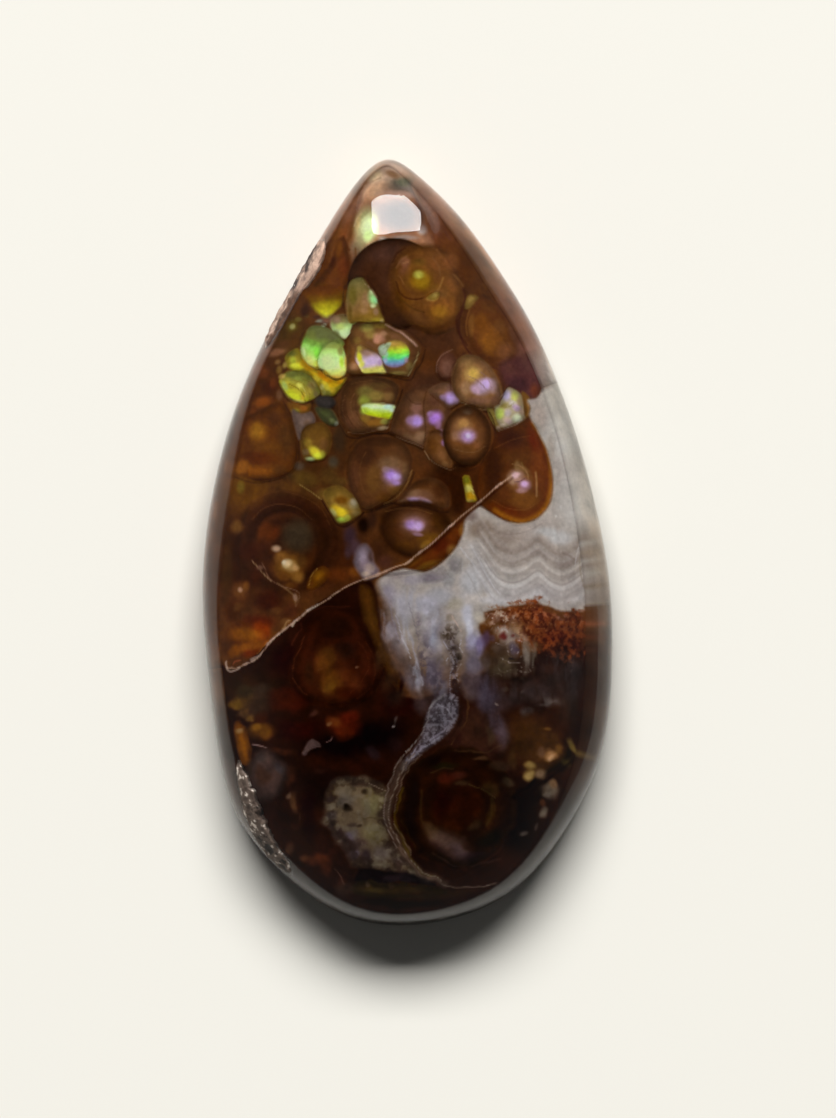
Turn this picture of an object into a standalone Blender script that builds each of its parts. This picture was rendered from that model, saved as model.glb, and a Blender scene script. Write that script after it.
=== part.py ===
"""Fire agate cabochon: one polished, pear-shaped stone that lies on its flat base.

The pear's tip points to +Y and the polished dome faces +Z.
The origin is on the base, in the middle of the stone's box.
Sizes below are in millimetres, and MM turns them into metres where the mesh is made.
"""
import math

import bmesh
import bpy
import numpy as np
from mathutils import Vector, noise

MM = 0.001
NODE = "fire_agate_cabochon"

# The girdle, which is the widest line round the stone, from the tip clockwise.
# Each place has its x, its y, and how far the wall above it leans in by the time it reaches the shoulder.
GIRDLE_POINTS = (
    (-1.45, 28.50, 0.50), (0.78, 27.30, 0.80), (4.06, 24.03, 1.20), (7.26, 19.56, 1.40),
    (9.80, 15.09, 1.28), (12.18, 9.13, 1.32), (13.89, 3.17, 1.60), (15.01, -2.79, 1.85),
    (15.24, -8.75, 1.95), (14.49, -15.46, 1.85), (11.58, -21.64, 1.30), (6.89, -26.56, 1.08),
    (0.19, -28.53, 0.97), (-5.85, -27.23, 1.05), (-10.99, -22.91, 1.32), (-13.67, -17.69, 1.22),
    (-14.83, -10.24, 1.04), (-15.31, -3.54, 1.22), (-14.64, 3.17, 1.38), (-12.63, 10.62, 0.86),
    (-9.13, 18.07, 0.78), (-5.70, 24.03, 0.68), (-3.39, 27.30, 0.46),
)
SIDES_PER_SPAN = 7
CROWN = np.array((0.0, -3.5))

# The side of the stone: a bevel under the girdle, then a wall that rounds over to the shoulder.
BASE_BEVEL = 0.80
GIRDLE_HEIGHT = 1.80
BEVEL_RINGS = 3
WALL_ROUNDING = 3.0
SHOULDER_HEIGHT = 5.80
WALL_RINGS = 8

# The dome, which is polished from the shoulder to the crown and rolls down at the tip.
DOME_RISE = 4.40
DOME_FULLNESS = 1.5
DOME_RINGS = 17
SHOULDER_STEPS = 40
TIP_ROLL_START = 22.1
TIP_ROLL = 0.027

# The tip has a nearly flat table that slopes down to it. The big agate bubble below dips a little inside its rim.
TABLE = (-0.75, 24.30)
TABLE_HEIGHT = 7.12
TABLE_SLOPE = 0.384
TABLE_BEND = (25.0, 34.0)
TABLE_REACH = (3.4, 3.0)
TABLE_EDGE = 0.5
TABLE_EDGE_AT_WALL = 0.9
BUBBLE = (-0.30, 19.05)
BUBBLE_RADIUS = 3.8
BUBBLE_DIP = 0.09

# Two patches of the wall keep the rough skin that the stone had in the ground: from, to and half width.
SKIN_PATCHES = (
    ((-6.15, 21.60), (-10.40, 15.20), 1.00),
    ((-12.26, -16.80), (-9.28, -24.55), 1.15),
)
SKIN_DEPTH = 0.85
SKIN_LEAST_SHARE = 0.15
SKIN_MIDDLE_SHARE = 0.55
SKIN_UNEVENNESS = 0.60
SKIN_EDGE_STEEPNESS = 1.6
SKIN_CLEAR_OF_GIRDLE = 1.2

# The unevenness is noise of this grain size, with finer noise on it.
SKIN_GRAIN = 0.95
SKIN_FINE_SHARE = 0.9
SKIN_FINE_STEP = 2.1
SKIN_FINE_LEVELS = 3

STONE_COLOUR = (0.085, 0.026, 0.010, 1.0)
STONE_ROUGHNESS = 0.08
SMOOTH_EDGE_DEG = 32.0


def closed_curve(points, steps):
    """Places on the smooth closed curve through the points, the same number of steps in each span.

    The slopes at the points are those that leave the curvature no jump from one span to the next.
    """
    points = np.array(points)
    count = len(points)
    rows = np.arange(count)
    system = 4.0 * np.eye(count)
    system[rows, (rows + 1) % count] = 1.0
    system[rows, (rows - 1) % count] = 1.0
    following = np.roll(points, -1, axis=0)
    slopes = np.linalg.solve(system, 3.0 * (following - np.roll(points, 1, axis=0)))
    next_slopes = np.roll(slopes, -1, axis=0)
    t = (np.arange(steps) / steps)[None, :, None]
    start, end = points[:, None, :], following[:, None, :]
    leave, arrive = slopes[:, None, :], next_slopes[:, None, :]
    curve = (
        (2 * t**3 - 3 * t**2 + 1) * start + (t**3 - 2 * t**2 + t) * leave
        + (3 * t**2 - 2 * t**3) * end + (t**3 - t**2) * arrive
    )
    return curve.reshape(-1, points.shape[1])


def girdle_line(steps):
    """The girdle counterclockwise and centred on its own box, its inward directions and the wall's leans."""
    curve = closed_curve(GIRDLE_POINTS, steps)[::-1]
    line, lean = curve[:, :2], curve[:, 2:]
    line = line - (line.min(axis=0) + line.max(axis=0)) / 2
    along = np.roll(line, -1, axis=0) - np.roll(line, 1, axis=0)
    along /= np.linalg.norm(along, axis=1)[:, None]
    return line, np.stack([-along[:, 1], along[:, 0]], axis=1), lean


def side_profile():
    """For each ring from the base's edge to the shoulder: inset, share of the lean and height."""
    stations = []
    for ring in range(BEVEL_RINGS):
        angle = math.pi / 2 * ring / BEVEL_RINGS
        stations.append((BASE_BEVEL * (1 - math.sin(angle)), 0.0, GIRDLE_HEIGHT * (1 - math.cos(angle))))
    for ring in range(WALL_RINGS + 1):
        up = ring / WALL_RINGS
        height = GIRDLE_HEIGHT + (SHOULDER_HEIGHT - GIRDLE_HEIGHT) * up
        stations.append((0.0, up**WALL_ROUNDING, height))
    return stations


def rolled_height(height, y):
    """A height above the girdle, let down where the stone rolls off towards its tip."""
    past = max(0.0, y - TIP_ROLL_START)
    return height - TIP_ROLL * past**2 * max(0.0, height - GIRDLE_HEIGHT) / (SHOULDER_HEIGHT - GIRDLE_HEIGHT)


def soft_insets(plan):
    """A soft distance from the shoulder line, in which all of the line has a say.

    Near a straight edge it is the distance itself, and further in it rounds over, so the dome has no keel.
    """
    line, inward, lean = girdle_line(SHOULDER_STEPS)
    shoulder = line + inward * lean
    pieces = np.linalg.norm(np.roll(shoulder, -1, axis=0) - np.roll(shoulder, 1, axis=0), axis=1) / 2
    away = np.linalg.norm(plan[:, None, :] - shoulder[None, :, :], axis=2)
    return ((pieces / away**3).sum(axis=1) / 2) ** -0.5


def dome_heights(plan):
    """Height of the dome over its shoulder at each place of a plan."""
    share = soft_insets(plan) / soft_insets(CROWN[None, :])
    return DOME_RISE * (1 - (1 - np.minimum(share, 1.0)) ** DOME_FULLNESS)


def eased(share):
    """0 to 1 with a soft start and a soft end."""
    share = min(1.0, max(0.0, share))
    return share * share * (3 - 2 * share)


def polished_height(x, y, dome, inset):
    """The height of the polish where the dome has this height, with the tip's table and the bubble's dip."""
    across, along = x - TABLE[0], y - TABLE[1]
    table = TABLE_HEIGHT - TABLE_SLOPE * along - across**2 / TABLE_BEND[0] - along**2 / TABLE_BEND[1]
    reach = ((across / TABLE_REACH[0]) ** 4 + (along / TABLE_REACH[1]) ** 4) ** 0.25
    cover = eased((1 - reach) / TABLE_EDGE) * eased(inset / TABLE_EDGE_AT_WALL)
    inside_rim = max(0.0, BUBBLE_RADIUS - math.hypot(x - BUBBLE[0], y - BUBBLE[1]))
    towards_tip = min(1.0, max(0.0, (y - BUBBLE[1]) / BUBBLE_RADIUS))
    return dome + (table - dome) * cover - BUBBLE_DIP * (1 - math.exp(-inside_rim)) * towards_tip


def skin_cover(x, y):
    """How much of the rough skin is left at a place: 1 inside a patch, 0 outside it."""
    cover = 0.0
    for start, end, half_width in SKIN_PATCHES:
        start, place = Vector(start), Vector((x, y))
        run = Vector(end) - start
        along = min(1.0, max(0.0, (place - start).dot(run) / run.length_squared))
        away = (place - start - run * along).length / half_width
        cover = max(cover, min(1.0, SKIN_EDGE_STEEPNESS * (1 - away)))
    return cover


def skin_depth(x, y, z):
    """How far the rough skin lies below the polish there: ledges and pits, and nothing at the girdle."""
    grain = noise.fractal(Vector((x, y, z)) / SKIN_GRAIN, SKIN_FINE_SHARE, SKIN_FINE_STEP, SKIN_FINE_LEVELS)
    share = min(1.0, max(SKIN_LEAST_SHARE, SKIN_MIDDLE_SHARE + SKIN_UNEVENNESS * grain))
    clear = min(1.0, max(0.0, (z - GIRDLE_HEIGHT) / SKIN_CLEAR_OF_GIRDLE))
    return SKIN_DEPTH * share * skin_cover(x, y) * clear


def stone_rings():
    """Every ring of the stone from the base's edge to just below the crown, as rows of x, y, z."""
    line, inward, lean = girdle_line(SIDES_PER_SPAN)
    rings = []
    for inset, lean_share, height in side_profile():
        plan = line + inward * (inset + lean * lean_share)
        rings.append([(x, y, rolled_height(height, y)) for x, y in plan])
    shoulder = line + inward * lean
    for ring in range(1, DOME_RINGS + 1):
        plan = CROWN + (shoulder - CROWN) * (1 - ring / (DOME_RINGS + 1))
        heights = SHOULDER_HEIGHT + dome_heights(plan)
        insets = soft_insets(plan)
        rings.append([
            (x, y, polished_height(x, y, rolled_height(z, y), inset))
            for (x, y), z, inset in zip(plan, heights, insets)
        ])
    return rings


def place_on_stone(place, rings):
    """Where a place on the unit sphere goes: a pole to the base or the crown, the rest to a ring."""
    levels = len(rings) + 1
    ring = round(math.acos(max(-1.0, min(1.0, -place.z))) / math.pi * levels) - 1
    if ring < 0:
        return Vector((0.0, 0.0, 0.0))
    if ring >= len(rings):
        return Vector((CROWN[0], CROWN[1], SHOULDER_HEIGHT + dome_heights(CROWN[None, :])[0]))
    sides = len(rings[ring])
    x, y, z = rings[ring][round(math.atan2(place.y, place.x) / (2 * math.pi) * sides) % sides]
    return Vector((x - math.copysign(skin_depth(x, y, z), x), y, z))


def make_stone():
    """A sphere whose rings are moved to the stone's rings, with a flat base of one face."""
    rings = stone_rings()
    bm = bmesh.new()
    bmesh.ops.create_uvsphere(bm, u_segments=len(rings[0]), v_segments=len(rings) + 1, radius=1.0)
    for vert in bm.verts:
        vert.co = place_on_stone(vert.co, rings) * MM
    base = [face for face in bm.faces if not any(vert.co.z for vert in face.verts)]
    bmesh.ops.dissolve_faces(bm, faces=base)
    bmesh.ops.recalc_face_normals(bm, faces=bm.faces)
    mesh = bpy.data.meshes.new(NODE)
    bm.to_mesh(mesh)
    bm.free()
    mesh.shade_smooth()
    mesh.set_sharp_from_angle(angle=math.radians(SMOOTH_EDGE_DEG))
    return mesh


def stone_material():
    """Dark brown chalcedony with a bright polish."""
    material = bpy.data.materials.new("polished_fire_agate")
    material.use_nodes = True
    shader = material.node_tree.nodes["Principled BSDF"]
    shader.inputs["Base Color"].default_value = STONE_COLOUR
    shader.inputs["Roughness"].default_value = STONE_ROUGHNESS
    shader.inputs["Metallic"].default_value = 0.0
    return material


for old in list(bpy.data.objects):
    bpy.data.objects.remove(old, do_unlink=True)

cabochon = bpy.data.collections.new("fire_agate_cabochon")
bpy.context.scene.collection.children.link(cabochon)
stone = bpy.data.objects.new(NODE, make_stone())
stone.data.materials.append(stone_material())
cabochon.objects.link(stone)
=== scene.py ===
# Fire agate cabochon: a polished, pear-shaped stone lying on its flat base, seen from straight above.
# Places on the stone are in millimetres, x to the right and y to the tip, as in the CAD.
import math

import bpy
import numpy as np
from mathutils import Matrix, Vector
from mathutils.geometry import delaunay_2d_cdt, tessellate_polygon


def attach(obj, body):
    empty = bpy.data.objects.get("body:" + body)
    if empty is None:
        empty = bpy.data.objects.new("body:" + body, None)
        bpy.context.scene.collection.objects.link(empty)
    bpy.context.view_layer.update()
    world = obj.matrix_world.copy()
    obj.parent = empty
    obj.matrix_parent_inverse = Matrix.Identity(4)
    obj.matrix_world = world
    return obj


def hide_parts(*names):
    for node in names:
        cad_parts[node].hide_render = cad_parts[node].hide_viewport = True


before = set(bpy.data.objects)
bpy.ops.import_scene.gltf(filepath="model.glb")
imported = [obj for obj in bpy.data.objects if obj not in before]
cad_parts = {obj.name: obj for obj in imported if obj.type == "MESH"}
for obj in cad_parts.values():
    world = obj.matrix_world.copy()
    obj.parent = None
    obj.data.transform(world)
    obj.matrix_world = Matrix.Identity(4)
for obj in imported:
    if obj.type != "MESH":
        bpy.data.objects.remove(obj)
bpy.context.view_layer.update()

# The polished skin
# The outermost chalcedony is as clear as glass. It is ground and polished all round, to a pear with
# a flat base, a steep wall and a low dome, all bounded by its girdle.
MM = 0.001

# The girdle's places run from the tip clockwise: x, y, and how far the wall above leans in.
GIRDLE_POINTS = np.array((
    (-1.45, 28.50, 0.50), (0.78, 27.30, 0.80), (4.06, 24.03, 1.20), (7.26, 19.56, 1.40),
    (9.80, 15.09, 1.28), (12.18, 9.13, 1.32), (13.89, 3.17, 1.60), (15.01, -2.79, 1.85),
    (15.24, -8.75, 1.95), (14.49, -15.46, 1.85), (11.58, -21.64, 1.30), (6.89, -26.56, 1.08),
    (0.19, -28.53, 0.97), (-5.85, -27.23, 1.05), (-10.99, -22.91, 1.32), (-13.67, -17.69, 1.22),
    (-14.83, -10.24, 1.04), (-15.31, -3.54, 1.22), (-14.64, 3.17, 1.38), (-12.63, 10.62, 0.86),
    (-9.13, 18.07, 0.78), (-5.70, 24.03, 0.68), (-3.39, 27.30, 0.46),
))
CROWN = np.array((0.0, -3.5))
BASE_BEVEL = 0.80
GIRDLE_HEIGHT = 1.80
WALL_ROUNDING = 3.0
SHOULDER_HEIGHT = 5.80
DOME_RISE = 4.40
DOME_FULLNESS = 1.5
TIP_ROLL_START = 22.1
TIP_ROLL = 0.027
TABLE = np.array((-0.75, 24.30))
TABLE_HEIGHT = 7.12
TABLE_SLOPE = 0.384
TABLE_BEND = np.array((25.0, 34.0))
TABLE_REACH = np.array((3.4, 3.0))
TABLE_EDGE = 0.5
BUBBLE = np.array((-0.30, 19.05))
BUBBLE_RADIUS = 3.8
TABLE_EDGE_AT_WALL = 0.9
BUBBLE_DIP = 0.09
SHOULDER_STEPS = 12
PLACES_AT_ONCE = 4000


def closed_curve(points, steps):
    """Places on the smooth closed curve through the points, the same number of steps in each span."""
    count = len(points)
    rows = np.arange(count)
    system = 4.0 * np.eye(count)
    system[rows, (rows + 1) % count] = 1.0
    system[rows, (rows - 1) % count] = 1.0
    following = np.roll(points, -1, axis=0)
    slopes = np.linalg.solve(system, 3.0 * (following - np.roll(points, 1, axis=0)))
    t = (np.arange(steps) / steps)[None, :, None]
    curve = (
        (2 * t**3 - 3 * t**2 + 1) * points[:, None] + (t**3 - 2 * t**2 + t) * slopes[:, None]
        + (3 * t**2 - 2 * t**3) * following[:, None] + (t**3 - t**2) * np.roll(slopes, -1, axis=0)[:, None]
    )
    return curve.reshape(-1, points.shape[1])


def girdle_line(steps):
    """The girdle counterclockwise and centred on its own box, its inward directions and the wall's leans."""
    curve = closed_curve(GIRDLE_POINTS, steps)[::-1]
    line, lean = curve[:, :2], curve[:, 2:]
    line = line - (line.min(axis=0) + line.max(axis=0)) / 2
    along = np.roll(line, -1, axis=0) - np.roll(line, 1, axis=0)
    along /= np.linalg.norm(along, axis=1)[:, None]
    return line, np.stack([-along[:, 1], along[:, 0]], axis=1), lean


def soft_insets(plan):
    """A soft distance from the shoulder line, in which all of the line has a say, so the dome has no keel."""
    line, inward, lean = girdle_line(SHOULDER_STEPS)
    start = line + inward * lean
    side = np.roll(start, -1, axis=0) - start
    length = np.linalg.norm(side, axis=1)
    side /= length[:, None]
    insets = np.empty(len(plan))
    for first in range(0, len(plan), PLACES_AT_ONCE):
        some = plan[first:first + PLACES_AT_ONCE]
        along = (some[:, None, 0] - start[:, 0]) * side[:, 0] + (some[:, None, 1] - start[:, 1]) * side[:, 1]
        off = (some[:, None, 1] - start[:, 1]) * side[:, 0] - (some[:, None, 0] - start[:, 0]) * side[:, 1]
        off = off**2 + 1e-6
        pull = (length - along) / np.sqrt(off + (length - along) ** 2) + along / np.sqrt(off + along**2)
        insets[first:first + PLACES_AT_ONCE] = ((pull / off).sum(axis=1) / 2) ** -0.5
    return insets


def ease(share):
    """0 to 1 with a soft start and a soft end."""
    share = np.clip(share, 0.0, 1.0)
    return share * share * (3 - 2 * share)


def tip_roll(height, y):
    """A height above the girdle, let down where the stone rolls off towards its tip."""
    past = np.maximum(0.0, y - TIP_ROLL_START)
    share = np.maximum(0.0, height - GIRDLE_HEIGHT) / (SHOULDER_HEIGHT - GIRDLE_HEIGHT)
    return height - TIP_ROLL * past**2 * share


def polish_height(plan):
    """Height of the polish over each place of a plan: a dome, and a flatter table at the tip."""
    insets = soft_insets(plan)
    share = np.minimum(insets / soft_insets(CROWN[None]), 1.0)
    dome = tip_roll(SHOULDER_HEIGHT + DOME_RISE * (1 - (1 - share) ** DOME_FULLNESS), plan[:, 1])
    off = plan - TABLE
    table = TABLE_HEIGHT - TABLE_SLOPE * off[:, 1] - (off**2 / TABLE_BEND).sum(axis=1)
    reach = ((off / TABLE_REACH) ** 4).sum(axis=1) ** 0.25
    cover = ease((1 - reach) / TABLE_EDGE) * ease(insets / TABLE_EDGE_AT_WALL)
    off = plan - BUBBLE
    away = np.linalg.norm(off, axis=1)
    inside_rim = 1 - np.exp(-np.maximum(0.0, BUBBLE_RADIUS - away))
    dip = BUBBLE_DIP * inside_rim * np.clip(off[:, 1] / BUBBLE_RADIUS, 0.0, 1.0)
    return dome + (table - dome) * cover - dip


SKIN_STEPS = 24
SKIN_BEVEL_RINGS = 6
SKIN_WALL_RINGS = 20
SKIN_DOME_RINGS = 100
RING_CROWDING = 1.1
CHALCEDONY_IOR = 1.54


def ring_mesh(name, rings):
    """A closed mesh of rings of places in millimetres, its first and last ring closed to a middle."""
    sides, count = len(rings[0]), len(rings)
    places = np.concatenate(rings + [rings[0].mean(axis=0)[None], rings[-1].mean(axis=0)[None]]) * MM
    ring = np.arange(count - 1)[:, None] * sides
    here, there = np.arange(sides), (np.arange(sides) + 1) % sides
    quads = np.stack([ring + here, ring + there, ring + sides + there, ring + sides + here], axis=-1)
    faces = quads.reshape(-1, 4).tolist()
    foot, head = sides * count, sides * count + 1
    faces += [(there[i], here[i], foot) for i in range(sides)]
    faces += [(foot - sides + here[i], foot - sides + there[i], head) for i in range(sides)]
    mesh = bpy.data.meshes.new(name)
    mesh.from_pydata(places.tolist(), [], faces)
    mesh.shade_smooth()
    return mesh


def side_rings(line, inward, lean, bevel_rings, wall_rings, inset=0.0):
    """The rings of the stone's side, from the base's edge over the girdle to the shoulder."""
    rings = []
    for ring in range(bevel_rings):
        angle = math.pi / 2 * ring / bevel_rings
        plan = line + inward * (inset + BASE_BEVEL * (1 - math.sin(angle)))
        height = np.full(len(plan), inset + GIRDLE_HEIGHT * (1 - math.cos(angle)))
        rings.append(np.column_stack([plan, height]))
    for ring in range(wall_rings + 1):
        up = ring / wall_rings
        plan = line + inward * (inset + lean * up**WALL_ROUNDING)
        height = GIRDLE_HEIGHT + (SHOULDER_HEIGHT - GIRDLE_HEIGHT) * up
        rings.append(np.column_stack([plan, tip_roll(np.full(len(plan), height), plan[:, 1])]))
    return rings


def dome_rings(shoulder, count):
    """The rings of the polished dome, from just inside the shoulder to the crown."""
    shares = 1 - np.linspace(0.0, 1.0, count + 1)[1:-1] ** RING_CROWDING
    plans = [CROWN + (shoulder - CROWN) * share for share in shares]
    heights = polish_height(np.concatenate(plans)).reshape(len(plans), -1)
    return [np.column_stack([plan, height]) for plan, height in zip(plans, heights)]


line, inward, lean = girdle_line(SKIN_STEPS)
rings = side_rings(line, inward, lean, SKIN_BEVEL_RINGS, SKIN_WALL_RINGS)
rings += dome_rings(line + inward * lean, SKIN_DOME_RINGS)
skin = bpy.data.objects.new("polished_skin", ring_mesh("polished_skin", rings))
bpy.context.scene.collection.objects.link(skin)

clear = bpy.data.materials.new("clear_chalcedony")
clear.use_nodes = True
shader = clear.node_tree.nodes["Principled BSDF"]
shader.inputs["Base Color"].default_value = (1.0, 1.0, 1.0, 1.0)
shader.inputs["Roughness"].default_value = 0.0
shader.inputs["IOR"].default_value = CHALCEDONY_IOR
shader.inputs["Specular Tint"].default_value = (0.70, 0.70, 0.70, 1.0)
shader.inputs["Transmission Weight"].default_value = 1.0
skin.data.materials.append(clear)
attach(skin, "root")
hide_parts("fire_agate_cabochon")

# The agate inside
# Under the clear skin the stone is opaque agate, with brown bubbles, coloured lights, white bands and
# dark depths. It grew in two goes, with a seam along the healed crack and the edge of the white agate.
GRAIN = 0.100
SEEN_FROM = np.array((0.782, -1.229))
SEEN_HEIGHT = 750.0
SKIN_AT_WALL = 0.14
FLOOR_DEPTH = 1.45
USUAL_DEPTH = 0.80
SLOPE_STEP = 0.02
EDGE_CLEARANCE = 0.07
SEAM_CLEARANCE = 0.55
EDGE_STEPS = 18
PHOTO_MIDDLE = (407.5, 542.5)
MM_PER_PIXEL = 0.0745


def px(*numbers):
    """Places read off the photo."""
    pairs = zip(numbers[::2], numbers[1::2])
    places = [((x - PHOTO_MIDDLE[0]) * MM_PER_PIXEL, (PHOTO_MIDDLE[1] - y) * MM_PER_PIXEL) for x, y in pairs]
    return places[0] if len(places) == 1 else places


def mm(pixels):
    """A length read off the photo."""
    return pixels * MM_PER_PIXEL


def seen_through_skin(plan, depth):
    """Where places that lie at a depth under the polish are seen from above, on the girdle's level."""
    height = polish_height(plan)
    slope = np.column_stack([
        polish_height(plan + np.array((SLOPE_STEP, 0.0))) - height,
        polish_height(plan + np.array((0.0, SLOPE_STEP))) - height,
    ]) / SLOPE_STEP
    steep = np.linalg.norm(slope, axis=1) + 1e-9
    tilt = np.arctan(steep)
    bend = np.tan(tilt - np.arcsin(np.sin(tilt) / CHALCEDONY_IOR))
    entry = plan - slope / steep[:, None] * (depth * bend)[:, None]
    nearer = SEEN_HEIGHT / (SEEN_HEIGHT - (height - GIRDLE_HEIGHT))
    return SEEN_FROM + (entry - SEEN_FROM) * nearer[:, None], height, slope


def place_under(seen_places, depth):
    """The places of the plan that are seen at these places from above."""
    plan = np.array(seen_places)
    for _ in range(5):
        plan = plan + (seen_places - seen_through_skin(plan, depth)[0])
    return plan


edge_line, edge_inward, edge_lean = girdle_line(EDGE_STEPS)
top_edge = edge_line + edge_inward * (edge_lean + SKIN_AT_WALL)
seam_seen = px(190, 662, 226, 669, 245, 665, 257, 658, 269, 643, 291, 625, 313, 607, 338, 592, 365, 580,
        382, 574, 400, 569, 412, 571, 424, 572, 436, 567, 448, 557, 457, 546, 463, 532, 465, 520, 478, 507,
        487, 511, 502, 520, 518, 524, 533, 521, 544, 512, 551, 500, 553, 482, 551, 465, 547, 450, 541, 438,
        535, 427, 529, 417, 530, 408, 527, 400, 537, 398, 545, 388, 551, 372, 556, 360, 640, 340)


def inside_loop(places, loop):
    """Whether places lie inside a closed line."""
    odd = np.zeros(len(places), dtype=bool)
    for (x0, y0), (x1, y1) in zip(loop, np.roll(loop, -1, axis=0)):
        if y0 != y1:
            crosses = (places[:, 1] >= min(y0, y1)) & (places[:, 1] < max(y0, y1))
            odd ^= crosses & (places[:, 0] < x0 + (places[:, 1] - y0) * (x1 - x0) / (y1 - y0))
    return odd


def even_line(places, spacing):
    """Places at even spacing along an open line."""
    places = np.array(places)
    run = np.concatenate([[0.0], np.linalg.norm(np.diff(places, axis=0), axis=1).cumsum()])
    at = np.linspace(0.0, run[-1], int(run[-1] / spacing) + 1)
    return np.column_stack([np.interp(at, run, places[:, 0]), np.interp(at, run, places[:, 1])])


seam = even_line(place_under(np.array(even_line(seam_seen, 0.5)), USUAL_DEPTH), GRAIN)
seam = seam[inside_loop(seam, top_edge) & (soft_insets(seam) > SKIN_AT_WALL + EDGE_CLEARANCE)]
edge_count = len(top_edge)
seam_start = int(np.argmin(np.linalg.norm(top_edge - seam[0], axis=1)))
seam_end = int(np.argmin(np.linalg.norm(top_edge - seam[-1], axis=1)))
low, high = top_edge.min(axis=0), top_edge.max(axis=0)
rows = np.arange(low[1], high[1], GRAIN * math.sqrt(3) / 2)
columns = np.arange(low[0], high[0], GRAIN)
grid = np.array([(x + GRAIN / 2 * (row % 2), y) for row, y in enumerate(rows) for x in columns])
grid = grid[soft_insets(grid) > SKIN_AT_WALL + EDGE_CLEARANCE]
grid = grid[inside_loop(grid, top_edge)]
clear_of_seam = np.ones(len(grid), dtype=bool)
for first in range(0, len(seam), 40):
    some = seam[first:first + 40]
    near = np.flatnonzero(((grid > some.min(axis=0) - 0.1) & (grid < some.max(axis=0) + 0.1)).all(axis=1))
    gap = np.linalg.norm(grid[near][:, None] - some[None], axis=2).min(axis=1) if len(near) else np.array([])
    clear_of_seam[near[gap < GRAIN * SEAM_CLEARANCE]] = False
grid = grid[clear_of_seam]
plan = np.concatenate([top_edge, seam, grid])
ring_edges = [(i, (i + 1) % edge_count) for i in range(edge_count)]
seam_indices = [seam_start, *range(edge_count, edge_count + len(seam)), seam_end]
seam_edges = list(zip(seam_indices, seam_indices[1:]))
plan_places = [Vector(place) for place in plan]
flat, _, triangles, _, _, _ = delaunay_2d_cdt(plan_places, ring_edges + seam_edges, [], 0, 1e-6)
plan = np.array([(v.x, v.y) for v in flat])
triangles = np.array(triangles)
triangles = triangles[inside_loop(plan[triangles].mean(axis=1), top_edge)]
seen, polish, slope = seen_through_skin(plan, USUAL_DEPTH)
upper_loop = np.concatenate([np.array(seam_seen), px(640, 100, 100, 100, 100, 662)])

# The layers' colours and relief are laid on place by place, with a few brushes. The rows for them hold
# pixels of the photo, which px and mm turn into millimetres. A tone is red, green, blue from 0 to 255.
# A shape's lights are the fire's iridescent colours: partly the films' own colour, partly painted highlight
# where they catch the softbox.
tones = np.tile(np.array((70.0, 38.0, 16.0)), (len(seen), 1))
rise = np.zeros(len(seen))
SHAPE_REACH = 1.5
BUBBLE_RISE = 0.45
CURVE_STEPS = 6
USUAL_STRENGTH_AND_TURN = [0.9, 0]


def lay(cover, tone, strength=1.0):
    """Lays a tone over the layers as far as it covers them."""
    cover = (cover * strength)[:, None]
    tones[:] = tones * (1 - cover) + np.array(tone, dtype=float) * cover


def oval_away(place, across, along=None, turn=0.0):
    """How far each place lies from an oval's middle, as a share of the way to its rim."""
    along = across if along is None else along
    turn = math.radians(turn)
    x, y = drifted[:, 0] - place[0], drifted[:, 1] - place[1]
    side = x * math.cos(turn) + y * math.sin(turn)
    ahead = y * math.cos(turn) - x * math.sin(turn)
    return np.sqrt((side / across) ** 2 + (ahead / along) ** 2)


def glow(place, across, along, turn, tone, strength=1.0, within=None, edge=1.0):
    """Lays a tone in an oval that fades towards its rim, all inside a shape where one is given."""
    cover = ease((1 - oval_away(place, across, along, turn)) / edge)
    lay(cover if within is None else cover * within, tone, strength)


def rounded(corners, steps=5):
    """The corners of a closed line, joined by soft curves."""
    corners = np.array(corners)
    if steps == 1:
        return corners
    t = (np.arange(steps) / steps)[None, :, None]
    before, here = np.roll(corners, 1, axis=0)[:, None], corners[:, None]
    after, beyond = np.roll(corners, -1, axis=0)[:, None], np.roll(corners, -2, axis=0)[:, None]
    curve = (
        2 * here + (after - before) * t + (2 * before - 5 * here + 4 * after - beyond) * t**2
        + (3 * here - before - 3 * after + beyond) * t**3
    ) / 2
    return curve.reshape(-1, 2)


def depth_inside(corners, steps=5):
    """How deep each place lies inside a closed line, negative outside it and cut off at the shapes' reach."""
    loop = rounded(corners, steps)
    low, high = loop.min(axis=0) - SHAPE_REACH, loop.max(axis=0) + SHAPE_REACH
    near = np.flatnonzero(((seen > low) & (seen < high)).all(axis=1))
    depth = np.full(len(seen), -SHAPE_REACH)
    place = seen[near]
    away = np.full(len(near), 1e9)
    odd = np.zeros(len(near), dtype=bool)
    for (x0, y0), (x1, y1) in zip(loop, np.roll(loop, -1, axis=0)):
        ax, ay = place[:, 0] - x0, place[:, 1] - y0
        bx, by = x1 - x0, y1 - y0
        share = np.clip((ax * bx + ay * by) / (bx * bx + by * by + 1e-12), 0, 1)
        away = np.minimum(away, (ax - share * bx) ** 2 + (ay - share * by) ** 2)
        if by:
            crosses = (place[:, 1] >= min(y0, y1)) & (place[:, 1] < max(y0, y1))
            odd ^= crosses & (ax - ay * bx / by < 0)
    away = np.minimum(np.sqrt(away), SHAPE_REACH)
    depth[near] = np.where(odd, away, -away)
    return depth


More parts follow.
